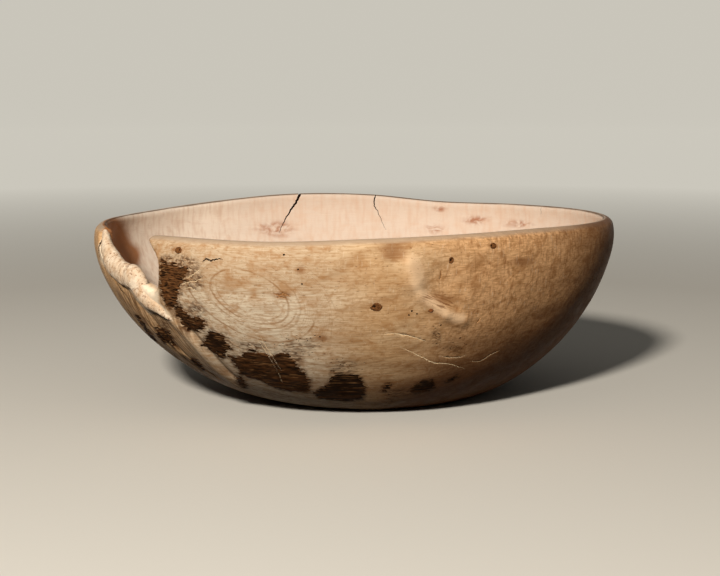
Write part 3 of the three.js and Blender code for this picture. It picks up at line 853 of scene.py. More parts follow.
def on_wall(pixels):
    """Points on the wall in metres and directions out of it, seen through pixels of the photograph."""
    hits = [wall_tree.ray_cast(EYE, pixel_ray(*pixel))[:2] for pixel in pixels]
    found = [(place, normal) for place, normal in hits if place is not None]
    return np.array([place for place, _ in found]), np.array([normal for _, normal in found])


def pixels_of(points):
    """Pixels of the photograph where points in metres are seen."""
    offset = np.asarray(points) - np.array(EYE)
    ahead = offset[:, 1] * math.cos(LOOKS_DOWN) - offset[:, 2] * math.sin(LOOKS_DOWN)
    up = offset[:, 1] * math.sin(LOOKS_DOWN) + offset[:, 2] * math.cos(LOOKS_DOWN)
    across = IMAGE_WIDTH / 2 + FOCAL_PIXELS * offset[:, 0] / ahead
    return np.column_stack([across, IMAGE_HEIGHT / 2 - FOCAL_PIXELS * up / ahead])


print("The photograph's middle meets the wall at", on_wall([IMAGE_MIDDLE])[0].round(3), "m")

# %% [markdown]
# ## Cuts in the wall
# Cracks, slits and scratches are real cuts, taken out of the wall with thin jagged blades. Drying cracks
# run down from the rim, where the wood dried first, and one is open through the wall. Sockets for
# the knots and the bead of resin are cut at the same time, so that each of these sits in the wall with a
# fine dark line around it.

# %% Places of the cuts
# Each cut has a half width and a depth in mm, a jag in mm, and pixels along it.
SCRATCHES = {
    "across the swirl's foot": (0.45, 0.5, 0.3, [(383, 334), (395, 333.5), (405, 335), (415, 337.5),
                                                 (428, 342)]),
    "long under the swirl": (0.5, 0.6, 0.4, [(399, 347), (412, 352), (424, 358), (434, 362.5),
                                             (450, 364), (465, 369)]),
    "short under the swirl": (0.35, 0.4, 0.3, [(440, 356), (450, 357.5), (460, 357), (466, 355)]),
    "to the right": (0.4, 0.4, 0.4, [(470, 361), (480, 361), (490, 355), (500, 350)]),
    "down the middle": (0.4, 0.5, 0.6, [(256, 337), (268, 355), (278, 372), (282, 382)]),
    "beside it": (0.3, 0.3, 0.5, [(260, 336), (271, 354), (281, 370)]),
    "beside the notch, upper": (0.25, 0.25, 0.4, [(183, 279), (189, 277), (195, 273), (201, 268)]),
    "beside the notch, middle": (0.25, 0.25, 0.4, [(181, 285), (188, 282), (196, 281), (203, 277)]),
    "beside the notch, lower": (0.25, 0.25, 0.4, [(183, 290), (189, 287), (193, 289), (198, 291)]),
}
CRACKS = {
    "lip": (0.9, 5, 0.5, [(107.5, 230), (103, 239), (100.5, 242), (99, 247), (99, 254), (101, 261)]),
    "chip by the notch": (0.6, 1.4, 0.5, [(202, 262), (204.5, 260.5), (206.5, 258.8), (211, 260.5),
                                          (217, 259), (223, 259.5)]),
    "flank slit": (0.5, 1.5, 0.2, [(116, 282), (119, 286), (121, 290), (125, 293)]),
}
WRINKLES = {
    "figure core": (0.6, 0.4, 0.5, [(273, 293), (279, 295), (284, 294), (291, 297)]),
    "figure core below": (0.5, 0.4, 0.5, [(276, 298), (281, 297), (286, 299)]),
    "swirl nick": (0.5, 0.4, 0.2, [(440, 270), (441, 275), (440, 279)]),
    "right nick": (0.5, 0.4, 0.2, [(480, 318), (478, 321), (476, 323)]),
}
PITS = [(284, 255), (298, 269.5), (302, 284), (320, 337), (412, 311), (417, 314), (409, 315), (460, 338),
        (441, 325)]
PIT_WIDTH = 1.4
PIT_DEPTH = 1.2
PIT_SIDES = 9
PIT_WOBBLE = 0.4
# A drying crack has a half width and a depth at the rim, in mm, and bearings and heights on the inner wall.
DRYING_CRACKS = {
    "open": (1.2, 22, [(111.1, 146), (112.4, 138), (114.2, 130), (116, 121), (117.7, 112)]),
    "closed": (0.7, 6, [(87.7, 148), (88.6, 138), (87.4, 130), (84.8, 114)]),
    "faint": (0.4, 3, [(34.6, 145), (35.2, 130)]),
}
DRYING_JAG = 0.4
DRYING_STEPS = 7
print("Scratches, cracks, wrinkles and pits:", len(SCRATCHES), len(CRACKS), len(WRINKLES), len(PITS))

# %% Blades and plugs
BLADE_LIFT = 1.5
WOBBLE_SIZE = 0.8
WOBBLE_PLACE = 5
# The corners of a quad the other way round.
TURNED_OVER = [0, 3, 2, 1]


def blade(places, normals, half_widths, depths, jag, seed):
    """A closed wedge along a path, in metres: wide above the wall and sharp inside it."""
    places = np.asarray(places) / MM
    tangents = np.gradient(places, axis=0)
    sides = np.cross(normals, tangents)
    sides /= np.linalg.norm(sides, axis=1, keepdims=True)
    shake = np.random.default_rng(seed).uniform(-jag, jag, len(places))
    places = places + sides * shake[:, None]
    wide = (half_widths * (1 + BLADE_LIFT / depths))[:, None]
    top = places + normals * BLADE_LIFT
    rows = np.stack([top - sides * wide, top + sides * wide, places - normals * depths[:, None]], axis=1)
    points = rows.reshape(-1, 3) * MM
    index = np.arange(len(points)).reshape(-1, 3)
    return points, [index[0][::-1], index[-1], *ring_quads(len(index), 3)]


def wall_axes(normal):
    """Directions along the wall and up it, from the direction out of it."""
    along = np.cross((0, 0, 1), normal)
    along /= np.linalg.norm(along)
    return along, np.cross(normal, along)


def plug(place, normal, outline, depth):
    """A closed prism over a flat outline in mm, from above the wall down to a depth in it."""
    along, up = wall_axes(normal)
    flat = outline[:, :1] * along + outline[:, 1:] * up
    rows = np.vstack([flat + normal * BLADE_LIFT * 2, flat - normal * depth])
    count = len(outline)
    sides = ring_quads(2, count)[:, TURNED_OVER]
    return place + rows * MM, [range(count), range(2 * count - 1, count - 1, -1), *sides]


def oval_outline(width, height, count, wobble, seed):
    """A flat oval with an uneven edge."""
    turns = np.arange(count) / count * 2 * math.pi
    circle = np.column_stack([np.cos(turns), np.sin(turns)])
    uneven = 1 + wobble * lumps(circle + WOBBLE_PLACE, WOBBLE_SIZE, seed)
    return circle * uneven[:, None] * (width / 2, height / 2)


# %% Cutters
CUT_STEPS = 12
CUT_FILL = {"scratch": 1, "crack": 2, "wrinkle": 3}
TAPER_POWER = 0.6
BLUNT_END = 0.12
LEAST_DEPTH = 0.4


def taper(count):
    """Shares along a cut that thin out to both ends."""
    return np.maximum(np.sin(np.linspace(0, math.pi, count)) ** TAPER_POWER, BLUNT_END)


cutters = []
scratch_places = []
for kind, cuts in (("scratch", SCRATCHES), ("crack", CRACKS), ("wrinkle", WRINKLES)):
    for half_width, depth, jag, path in cuts.values():
        places, normals = on_wall(smooth_path(path, CUT_STEPS))
        shares = taper(len(places))
        if kind == "scratch":
            scratch_places.extend(places)
        depths = depth * np.maximum(shares, LEAST_DEPTH)
        wedge = blade(places, normals, half_width * shares, depths, jag, len(cutters))
        cutters.append((*wedge, CUT_FILL[kind]))
for half_width, depth, path in DRYING_CRACKS.values():
    crack_bearings, crack_heights = smooth_path(path, DRYING_STEPS).T
    shares = np.linspace(1, BLUNT_END, len(crack_bearings))
    places = to_part(plain_wall(crack_bearings, crack_heights, inner=True))
    normals = wall_normal(crack_bearings, crack_heights, inner=True)
    wedge = blade(places, normals, half_width * shares, depth * shares, DRYING_JAG, len(cutters))
    cutters.append((*wedge, CUT_FILL["crack"]))
for place, normal in zip(*on_wall(PITS)):
    pit = oval_outline(PIT_WIDTH, PIT_WIDTH, PIT_SIDES, PIT_WOBBLE, len(cutters))
    cutters.append((*plug(place, normal, pit, PIT_DEPTH), CUT_FILL["crack"]))
print("Cuts:", len(cutters))

# %% [markdown]
# ## Knots and resin
# The dead knot is a loose branch end that the root grew around, with a black eye at its left. The pin
# knots are small twigs. Each is a low lid of rings with an eye sunk in it, over a short stub that fills
# its socket. The bead of resin is a drop that ran out beside the swirl and set. A lid of rings gives it
# too, and its eye has no size, which leaves only a pinhole in its middle.

# %% Knots and resin
KNOT_STEPS = 44
KNOT_RINGS = 15
KNOT_STUB = 2.6
KNOT_WOBBLE = 0.16
SOCKET_GAP = 0.15
# Each has a crown in mm, an eye's place and size as shares of its half sizes, and a seed.
KNOT_STYLES = {
    "dead_knot": {"crown": 0.25, "eye": (-0.38, 0.05, 0.42), "seed": 31},
    "rim_knot": {"crown": 0.15, "eye": (-0.45, 0, 0.4), "seed": 32},
    "small_knot": {"crown": 0.1, "eye": (0, 0, 0.6), "seed": 33},
    "left_knot": {"crown": 0.1, "eye": (0.3, 0.1, 0.35), "seed": 34},
    "resin_bead": {"crown": 0.5, "eye": (0, 0, 0), "seed": 35},
}
EYE_DEPTH = 1.1
EYE_EDGE = 0.7
LEAST_EYE = 0.001
RIPPLE = 0.08
RIPPLE_TURNS = 17
pieces = {}


def seat(node):
    """Where a CAD node meets the wall: the place, the direction out, and its width and height in mm."""
    low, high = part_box(node)
    place, normal, *_ = wall_tree.find_nearest((low + high) / 2)
    along, up = wall_axes(np.array(normal))
    corners = np.array([vertex.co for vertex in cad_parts[node].data.vertices]) / MM
    return np.array(place), np.array(normal), np.ptp(corners @ along), np.ptp(corners @ up)


def lid(node, style, material):
    """A knot or bead: rings drawn in to the middle on top, and a stub below."""
    place, normal, width, height = seat(node)
    along, up = wall_axes(normal)
    edge = oval_outline(width, height, KNOT_STEPS, KNOT_WOBBLE, style["seed"])
    shares = np.linspace(0, 1, KNOT_RINGS)[::-1]
    flat = np.vstack([edge * share for share in shares])
    away = np.repeat(shares, KNOT_STEPS)
    eye_across, eye_up, eye_size = style["eye"]
    to_eye = np.hypot(flat[:, 0] / width * 2 - eye_across, flat[:, 1] / height * 2 - eye_up)
    eye = np.clip(1 - to_eye / max(eye_size, LEAST_EYE), 0, 1) ** EYE_EDGE
    rise = style["crown"] * (1 - away ** 2) + RIPPLE * np.sin(away * RIPPLE_TURNS) - EYE_DEPTH * eye
    top = flat[:, :1] * along + flat[:, 1:] * up + rise[:, None] * normal
    stub = edge[:, :1] * along + edge[:, 1:] * up - KNOT_STUB * normal
    points = place + np.vstack([stub, top]) * MM
    faces = [*ring_quads(KNOT_RINGS + 1, KNOT_STEPS), range(KNOT_STEPS - 1, -1, -1)]
    piece = mesh_object(node + "_visual", points, faces, [material])
    keep_on_points(piece.data, "eye", np.append(np.zeros(KNOT_STEPS), eye))
    clean(piece.data)
    socket = edge * (1 + 2 * SOCKET_GAP / np.array([width, height]))
    cutters.append((*plug(place, normal, socket, KNOT_STUB + SOCKET_GAP), CUT_FILL["crack"]))
    return piece


for node, style in KNOT_STYLES.items():
    pieces[node] = lid(node, style, resin if node == "resin_bead" else knot_wood)
print("Knots and resin:", ", ".join(pieces))

# %% [markdown]
# ## Taking the cuts out
# All the blades and plugs go into one cutter, and one boolean takes them from the wall. The faces that a
# blade leaves take the blade's finish: fresh wood in a scratch, stained wood in a wrinkle, old dust and
# painted shade in a crack.

# %% Take the cuts out
FILLS = [root_wood, fresh_wood, crack_dust_and_shade, stained_wood]
SHARP_ANGLE = math.radians(50)

cutter = mesh_object("cutter", *joined([(points, faces) for points, faces, _ in cutters]), FILLS)
fills = [fill for _, faces, fill in cutters for _ in faces]
cutter.data.polygons.foreach_set("material_index", fills)
clean(cutter.data, FINE_MERGE)
for material in FILLS:
    shell.data.materials.append(material)
cut = shell.modifiers.new("cuts", "BOOLEAN")
cut.operation = "DIFFERENCE"
cut.object = cutter
cut.solver = "EXACT"
cut.use_self = True
cut_mesh = bpy.data.meshes.new_from_object(shell.evaluated_get(bpy.context.evaluated_depsgraph_get()))
shell.modifiers.clear()
shell.data = cut_mesh
bpy.data.objects.remove(cutter)
shell.data.set_sharp_from_angle(angle=SHARP_ANGLE)
print("Bowl wall after the cuts:", len(shell.data.polygons), "faces")

# %% [markdown]
# ## Bark
# Old bark still sits in the hollows that the knife left out: a row of patches from the notch down and
# along the foot. It is ragged and scraped along the fibres. Each patch is a thin slab laid on the wall,
# whose top rises through the wall's face only where bark is left, so its edge is as broken as a real one.

# %% Outlines of the bark
# Each patch is outlined by pixels of the photograph.
BARK_OUTLINES = {
    "bark_remnant_01": [(160, 261), (166, 259.5), (174, 260), (178, 265), (186, 266), (190, 272),
                        (186, 280), (181, 288), (178, 296), (178, 303), (172, 308), (166, 306),
                        (162, 296), (160, 285), (159.5, 272)],
    "bark_remnant_02": [(173.5, 308), (180, 305.5), (184, 311), (190, 316), (198, 316), (204, 321),
                        (205, 328), (195, 331), (190, 333), (187, 329), (183, 327), (180, 320)],
    "bark_remnant_03": [(207, 331), (213, 330), (218, 333), (224, 338), (226, 344), (231, 348),
                        (227, 351), (227, 357), (221, 359), (216, 354), (209, 350), (203, 346),
                        (206, 339)],
    "bark_remnant_04": [(229, 357), (238, 356), (244, 352), (250, 349.5), (256, 352), (266, 353),
                        (270, 356), (280, 352), (288, 353), (292, 358), (297, 366), (304, 374),
                        (309, 379), (309.5, 392), (300, 392.5), (288, 391), (276, 388), (262, 381),
                        (250, 377), (240, 374), (238, 368), (233, 362)],
    "bark_remnant_05": [(312, 392), (318, 390), (327, 385), (332, 378), (334, 373), (341, 371.5),
                        (348, 375), (354, 373), (361, 379), (365, 384), (365, 391), (363, 399),
                        (356, 399), (348, 401), (338, 400), (328, 400), (320, 398)],
    "bark_remnant_06": [(380, 391), (384, 387), (388, 383.5), (390, 385), (388, 389), (383, 392)],
    "bark_remnant_07": [(411, 389), (417, 383), (424, 380), (432, 378), (434, 383), (433, 389),
                        (428, 390), (420, 392), (412, 393)],
    "bark_remnant_08": [(446, 381), (450, 378), (456, 375.5), (457, 377), (452, 379.5), (447, 382)],
    "bark_remnant_09": [(135, 314), (139, 316), (145, 324), (152, 334), (157, 341), (152, 339),
                        (145, 330), (138.5, 321)],
    "bark_remnant_10": [(155, 328), (160, 326.5), (165, 329), (170, 331), (172, 338), (176, 346),
                        (173, 346), (170, 341), (164, 343), (157, 336)],
    "bark_remnant_11": [(190, 357), (196, 359), (201, 364), (204, 370), (198, 367), (192, 362)],
    "bark_remnant_12": [(238, 376), (242, 377), (247, 386), (244, 388), (239, 384), (236.5, 378)],
}
BARK_WEAR = {"bark_remnant_01": 0.8, "bark_remnant_02": 0.4, "bark_remnant_04": 0.4}
LEAST_WEAR = 0.15
print("Bark patches:", len(BARK_OUTLINES))

# %% Bark
BARK_STEP = 0.5
BARK_MARGIN = 3
BARK_SLOPE = 0.4
BARK_PROUD = 0.25
BARK_SUNK = 0.8
BARK_DEPTH = 1.7
RAGGED = 1.7
RAGGED_SIZES = ((7, 1.2), (3, 0.6))
SCRAPED = 4.5
SCRAPE_SIZE = (16, 1)
SCRAPE_FROM = 0.35
BARK_BUMP = 0.08
BUMP_SIZE = (2.6, 1.1)
BARK_SEED = 50
SEED_STEP = 10
SCRATCH_REACH = 0.55
RAY_START = 40
RAY_REACH = 80
KEPT_SHARE = 0.6
bark_edges = []


def bark_top(flat, outline, seed):
    """How far a patch's top lies above the wall at flat places in mm, below 0 where the wood is bare."""
    ragged = -outline_distance(flat, outline)
    for order, size in enumerate(RAGGED_SIZES):
        ragged = ragged + RAGGED * lumps(flat, size, seed + order)
    scrapes = np.maximum(lumps(flat, SCRAPE_SIZE, seed + 2) - SCRAPE_FROM, 0) * SCRAPED
    bumps = BARK_BUMP * lumps(flat, BUMP_SIZE, seed + 3)
    return np.clip(BARK_SLOPE * (ragged - scrapes), -BARK_SUNK, BARK_PROUD) + bumps


def slab(top, bottom, index, kept):
    """Points and quads of a closed slab, from a grid of numbers, over the quads that are kept."""
    corners = (index[:-1, :-1], index[:-1, 1:], index[1:, 1:], index[1:, :-1])
    quads = np.stack(corners, axis=-1).reshape(-1, 4)
    quads = quads[kept(quads)]
    edges = {(start, end) for quad in quads for start, end in zip(quad, np.roll(quad, -1))}
    rim = [edge for edge in edges if edge[::-1] not in edges]
    count = len(top)
    sides = [(end, start, start + count, end + count) for start, end in rim]
    return only_used(np.vstack([top, bottom]), np.vstack([quads, quads[:, ::-1] + count, sides]))


def bark_patch(node, outline_pixels, seed):
    """A thin closed slab on the wall, from a patch's outline in the photograph."""
    places, normals = on_wall(outline_pixels)
    middle = places.mean(axis=0)
    out = normals.mean(axis=0) / np.linalg.norm(normals.mean(axis=0))
    along, up = wall_axes(out)
    outline = np.column_stack([(places - middle) @ along, (places - middle) @ up]) / MM
    low, high = outline.min(axis=0) - BARK_MARGIN, outline.max(axis=0) + BARK_MARGIN
    across, upward = (np.arange(low[axis], high[axis], BARK_STEP) for axis in (0, 1))
    flat = np.stack(np.meshgrid(across, upward), axis=-1).reshape(-1, 2)
    rise = bark_top(flat, outline, seed)
    above = middle + (flat[:, :1] * along + flat[:, 1:] * up + out * RAY_START) * MM
    hits = [wall_tree.ray_cast(Vector(start), Vector(-out), RAY_REACH * MM)[:2] for start in above]
    found = np.array([place is not None for place, _ in hits])
    ground = np.array([place or (0, 0, 0) for place, _ in hits])
    lifted = np.array([normal or (0, 0, 0) for _, normal in hits])
    rise[distance_to(ground, scratch_places) < SCRATCH_REACH * MM] = -BARK_SUNK
    bark_edges.extend(ground[rise > 0])

    def kept(quads):
        return found[quads].all(axis=1) & (rise[quads] > -BARK_SUNK * KEPT_SHARE).any(axis=1)

    index = np.arange(len(flat)).reshape(len(upward), len(across))
    top = ground + lifted * rise[:, None] * MM
    points, quads = slab(top, ground - lifted * BARK_DEPTH * MM, index, kept)
    patch = mesh_object(node + "_visual", points, quads, [bark])
    keep_on_points(patch.data, "worn", np.full(len(points), BARK_WEAR.get(node, LEAST_WEAR)))
    clean(patch.data, FINE_MERGE)
    return patch


for order, (node, outline_pixels) in enumerate(BARK_OUTLINES.items()):
    pieces[node] = bark_patch(node, outline_pixels, BARK_SEED + SEED_STEP * order)
print("Faces of bark:", sum(len(pieces[node].data.polygons) for node in BARK_OUTLINES))

# %% [markdown]
# ## Roll of wound wood
# Where the root was hurt long ago, it closed the wound with a rounded roll of new wood, which now edges
# the notch and thins out to a rope that runs on down the wall. It follows a path, so it is swept by
# Geometry Nodes: a curve with its own thickness at each point, a round profile along it, and noise that
# pushes the surface in and out, in slow swells, in fine wrinkles and in creases across the roll.

# %% Helpers for Geometry Nodes
def named_tree(name, inputs):
    """An empty tree with named inputs, and what its input node gives."""
    tree = bpy.data.node_groups.new(name, "GeometryNodeTree")
    for title, kind in {"Geometry": "Geometry", **inputs}.items():
        tree.interface.new_socket(title, in_out="INPUT", socket_type="NodeSocket" + kind)
    tree.interface.new_socket("Geometry", in_out="OUTPUT", socket_type="NodeSocketGeometry")
    return tree, tree.nodes.new("NodeGroupInput").outputs


def close_tree(tree, shape, material):
    """Ends a tree: instances become real, the material is set, and the shape goes out."""
    whole = add(tree, "GeometryNodeRealizeInstances", {"Geometry": shape})
    dressed = add(tree, "GeometryNodeSetMaterial", {"Geometry": whole, "Material": material})
    add(tree, "NodeGroupOutput", {"Geometry": dressed})
    return tree


def grown(holder, tree, values, name):
    """A mesh object from what a node tree makes on a holder, with the tree's named inputs set."""
    modifier = holder.modifiers.new(tree.name, "NODES")
    modifier.node_group = tree
    sockets = {item.name: item.identifier for item in tree.interface.items_tree if item.in_out == "INPUT"}
    for key, value in values.items():
        modifier[sockets[key]] = value
    mesh = bpy.data.meshes.new_from_object(holder.evaluated_get(bpy.context.evaluated_depsgraph_get()))
    holder.modifiers.clear()
    mesh.name = name
    return placed_object(name, mesh)


# %% Path of the roll
# Each place has a way along the wall and up from the rim, a half height, and how far it stands out.
ROLL_PATH = [(-61, -3, 3, -3), (-56, -8, 5, -2.6), (-50.5, -15.5, 6.6, -1.4), (-42, -22.6, 8.4, 0.4),
             (-34, -28, 9.2, 1.4), (-22, -32.4, 9, 1.8), (-9, -34.8, 8.8, 2), (-1.5, -35, 9.5, 2.2),
             (3.5, -38.2, 8.8, 2.6), (8, -44, 7.2, 2.8), (13.5, -49.2, 7.6, 2.8), (19, -53, 7, 2.6),
             (24, -56, 5, 2), (29, -59.5, 3.2, 1.4), (33, -62.5, 2.4, 0.6), (36, -65, 1.6, -0.4)]
ROLL_STEPS = 12
ROLL_FLATNESS = 0.72


def roll_curve():
    """A curve inside the roll, along the notch's edge, with the roll's half height at each point."""
    along, down, radius, proud = smooth_path(ROLL_PATH, ROLL_STEPS).T
    bearing = NOTCH_BEARING + along / MM_PER_DEGREE
    height = rim_at(NOTCH_BEARING) + down
    outward = (proud - ROLL_FLATNESS * radius)[:, None]
    places = to_part(plain_wall(bearing, height) + wall_normal(bearing, height) * outward)
    data = bpy.data.curves.new("roll_path", "CURVE")
    data.dimensions = "3D"
    line = data.splines.new("POLY")
    line.points.add(len(places) - 1)
    line.points.foreach_set("co", np.column_stack([places, np.ones(len(places))]).ravel())
    line.points.foreach_set("radius", radius * MM)
    curve = bpy.data.objects.new("roll_path", data)
    bpy.context.collection.objects.link(curve)
    return curve


# %% Roll of wound wood
ROLL_INPUTS = {"Rings": "Int", "Sides": "Int", "Swell": "Float", "Wrinkle": "Float", "Crease": "Float",
               "Finish": "Material"}
ROLL_RINGS = 230
ROLL_SIDES = 56
ROLL_SWELL = 0.8
ROLL_SWELL_SIZE = 16
ROLL_WRINKLE = 0.45
ROLL_WRINKLE_SIZE = 2.6
ROLL_CREASE = 0.5
ROLL_CREASE_SPACING = 4.5


def pushed(tree, shape, noise, amount):
    """A shape pushed in and out along its normals, by noise around a half."""
    outwards = add(tree, "GeometryNodeInputNormal")
    level = add(tree, "ShaderNodeMath", {0: noise, 1: 0.5}, operation="SUBTRACT")
    push = add(tree, "ShaderNodeMath", {0: level, 1: amount}, operation="MULTIPLY")
    move = add(tree, "ShaderNodeVectorMath", {0: outwards, "Scale": push}, operation="SCALE")
    return add(tree, "GeometryNodeSetPosition", {"Geometry": shape, "Offset": move})


def roll_tree():
    """Geometry Nodes that sweep a round profile along a curve and wrinkle it."""
    tree, given = named_tree("roll_of_wood", ROLL_INPUTS)
    path = add(tree, "GeometryNodeResampleCurve", {"Curve": given["Geometry"], "Count": given["Rings"]})
    ring = add(tree, "GeometryNodeCurvePrimitiveCircle", {"Resolution": given["Sides"], "Radius": 1})
    flat = add(tree, "GeometryNodeTransform", {"Geometry": ring, "Scale": (ROLL_FLATNESS, 1, 1)})
    length = add(tree, "GeometryNodeSplineParameter", out="Length")
    stored = {"Geometry": path, "Name": "along_roll", "Value": length}
    measured = add(tree, "GeometryNodeStoreNamedAttribute", stored, data_type="FLOAT", domain="POINT")
    upright = add(tree, "GeometryNodeSetCurveNormal", {"Curve": measured}, mode="Z_UP")
    thickness = add(tree, "GeometryNodeInputRadius")
    swept = {"Curve": upright, "Profile Curve": flat, "Scale": thickness, "Fill Caps": True}
    shape = add(tree, "GeometryNodeCurveToMesh", swept)
    for amount, size in (("Swell", ROLL_SWELL_SIZE), ("Wrinkle", ROLL_WRINKLE_SIZE)):
        noise = add(tree, "ShaderNodeTexNoise", {"Scale": 1 / (size * MM), "Detail": 2})
        shape = pushed(tree, shape, noise, given[amount])
    reached = add(tree, "GeometryNodeInputNamedAttribute", {"Name": "along_roll"})
    wander = add(tree, "ShaderNodeTexNoise", {"Scale": 1 / (ROLL_SWELL_SIZE * MM), "Detail": 2})
    sums = {0: wander, 1: 2 * ROLL_CREASE_SPACING * MM, 2: reached}
    wandered = add(tree, "ShaderNodeMath", sums, operation="MULTIPLY_ADD")
    settings = {"W": wandered, "Scale": 1 / (ROLL_CREASE_SPACING * MM), "Detail": 3}
    crease = add(tree, "ShaderNodeTexNoise", settings, noise_dimensions="1D")
    return close_tree(tree, pushed(tree, shape, crease, given["Crease"]), given["Finish"])


curve = roll_curve()
roll_values = {"Rings": ROLL_RINGS, "Sides": ROLL_SIDES, "Swell": 2 * ROLL_SWELL * MM,
               "Wrinkle": 2 * ROLL_WRINKLE * MM, "Crease": 2 * ROLL_CREASE * MM, "Finish": wound_wood}
pieces["callus_lip"] = grown(curve, roll_tree(), roll_values, "callus_lip_visual")
bpy.data.objects.remove(curve)
clean(pieces["callus_lip"].data)
print("Roll of wound wood:", len(pieces["callus_lip"].data.polygons), "faces")

# %% [markdown]
# ## Marks for the wood's finish
# The finish has to know where on the bowl it is: how far from the root's pith for the growth rings, how
# deep inside, how near to bark, to the rim, to the foot or to the right end. These marks are worked out
# here for each point of the wall and kept on the mesh. Painting them by hand would be quicker, but
# couldn't be done again.

# %% Where each point of the wall lies
FLOOR_MARGIN = 3
ABOVE_FOOT = 3


def vectors(source, name):
    """An array of the vectors that a mesh holds."""
    values = np.empty(3 * len(source))
    source.foreach_get(name, values)
    return values.reshape(-1, 3)


points = vectors(shell.data.vertices, "co")
normals = vectors(shell.data.vertex_normals, "vector")
bench = points / MM - FOOT_MIDDLE
bearing = np.degrees(np.arctan2(bench[:, 1], bench[:, 0])) % FULL_TURN
radius = np.hypot(bench[:, 0], bench[:, 1])
height = np.clip(bench[:, 2], 0, rim_at(bearing))
outer_radius = wall_radius(bearing, height, inner=False)
inner_radius = wall_radius(bearing, np.maximum(height, FLOOR_THICKNESS), inner=True)
depth_share = np.clip((outer_radius - radius) / np.maximum(outer_radius - inner_radius, 1), 0, 1)
inside = np.where(height > FLOOR_THICKNESS - FLOOR_MARGIN, depth_share, 0)
hollow = inside > 0.5
outer = inside < 0.5
facing = np.sum((np.array(EYE) - points) * normals, axis=1) > 0
near_wall = facing & outer & (height > ABOVE_FOOT)
pixels = pixels_of(points)
marks = []


def mark(name, values, where=True):
    """Keeps a mark on the wall's points, or 0 outside the places that are given."""
    keep_on_points(shell.data, name, np.where(where, values, 0))
    marks.append(name)


def blots(places):
    """Soft oval blots around pixels of the photograph, each with half a width and half a height."""
    total = np.zeros(len(pixels))
    for (across, down), wide, high in places:
        total += np.exp(-((pixels[:, 0] - across) / wide) ** 2 - ((pixels[:, 1] - down) / high) ** 2)
    return np.clip(total, 0, 1)


print("Points seen on the near wall:", near_wall.sum(), "of", len(points))

# %% [markdown]
# ### Growth rings
# The rings lie around the root's pith, which runs along the bowl. An old branch on the near wall has an
# oval figure of its own, which the rings around it bend to follow.

# %% Growth rings
PITH = (28, 66)
RING_SWELL = 7
RING_SWELL_SIZE = (90, 40, 40)
RING_SEED = 71
FIGURE_PLACE = (243.2, 103)
FIGURE_HALF_LENGTH = 29.5
FIGURE_HALF_HEIGHT = 19.2
FIGURE_LEAN = math.radians(-19)
FIGURE_REACH = (1.3, 2.3)
FIGURE_CORE = 0.75


def figure_share():
    """Distance from the middle of the ring figure, and height above it, as shares of its own half sizes."""
    figure_bearing, figure_height = FIGURE_PLACE
    along = np.radians(bearing - figure_bearing) * around(REACHES, figure_bearing)
    up = height - figure_height
    longways = (along * math.cos(FIGURE_LEAN) + up * math.sin(FIGURE_LEAN)) / FIGURE_HALF_LENGTH
    crossways = (up * math.cos(FIGURE_LEAN) - along * math.sin(FIGURE_LEAN)) / FIGURE_HALF_HEIGHT
    return np.hypot(longways, crossways), crossways


rings = np.hypot(bench[:, 1] - PITH[0], bench[:, 2] - PITH[1])
rings = rings + RING_SWELL * lumps(bench, RING_SWELL_SIZE, RING_SEED)
share, figure_up = figure_share()
figure = np.where(outer & (bench[:, 1] < 0), share, FIGURE_REACH[1])
follow = eased(np.interp(figure, FIGURE_REACH, (1, 0)))
figure_rings = FIGURE_HALF_HEIGHT * (np.maximum(figure, FIGURE_CORE) - 1)
mark("rings", rings + (figure_rings - rings) * follow)
mark("figure", figure)
mark("figure_up", figure_up)
print("Growth rings reach from", rings.min().round(1), "to", rings.max().round(1), "mm from the pith")

# %% [markdown]
# ### Broad changes of colour
# The wood changes slowly around the bowl and up its wall. Each change has a bearing with a spread, or a
# range of heights over which it comes and goes. Darker towards the foot and at the right end is painted
# shade; the dark line along the rim's inner edge is partly grime and partly painted shade; and the paler
# left side of the hollow is painted light.

# %% Broad changes of colour
RIM_REACH = 5
# Depth in the wall and width of the dark line at the rim's inner edge, partly grime, partly painted shade.
RIM_LINE_DEPTH = 0.68
RIM_LINE_WIDTH = 0.14
FAIR_SIDE = (240, 24)
FLANK_SIDE = (210, 16)
FLANK_HEIGHTS = (86, 116)
# Bearing and spread of painted light on the left side of the hollow.
PAINTED_LIGHT_SIDE = (155, 28)
# Bearing and spread of painted shade at the right end.
SHADED_END_SIDE = (2, 36)
RUDDY_BEARING = 330
RUDDY_COSINES = (0.55, 0.95)
# Painted shade low on the right: the bearing it turns to, and the heights over which it fades.
SHADED_LOW_RIGHT_BEARING = 335
SHADED_LOW_RIGHT_COSINES = (0.3, 0.8)
SHADED_LOW_RIGHT_HEIGHTS = (16, 96)
HIGH_HEIGHTS = (97, 115)
HIGH_BEARINGS = (256, 272)
HIGH_FROM = 219
# Painted shade on the low wall: height where it ends, and height over which it fades in above the foot.
SHADED_LOW_TOP = 64
SHADED_LOW_FADE = 34


def turned_to(middle, cosines):
    """A share that rises as the wall turns towards a bearing."""
    return np.interp(np.cos(np.radians(bearing - middle)), cosines, (0, 1))


rim_near = np.interp(rim_at(bearing) - height, (0, RIM_REACH), (1, 0))
shaded_low_right = np.interp(height, SHADED_LOW_RIGHT_HEIGHTS, (1, 0)) * turned_to(SHADED_LOW_RIGHT_BEARING, SHADED_LOW_RIGHT_COSINES)
high_left = np.interp(bearing, HIGH_BEARINGS, (1, 0)) * (bearing > HIGH_FROM)
mark("inside", inside)
mark("rim", rim_near)
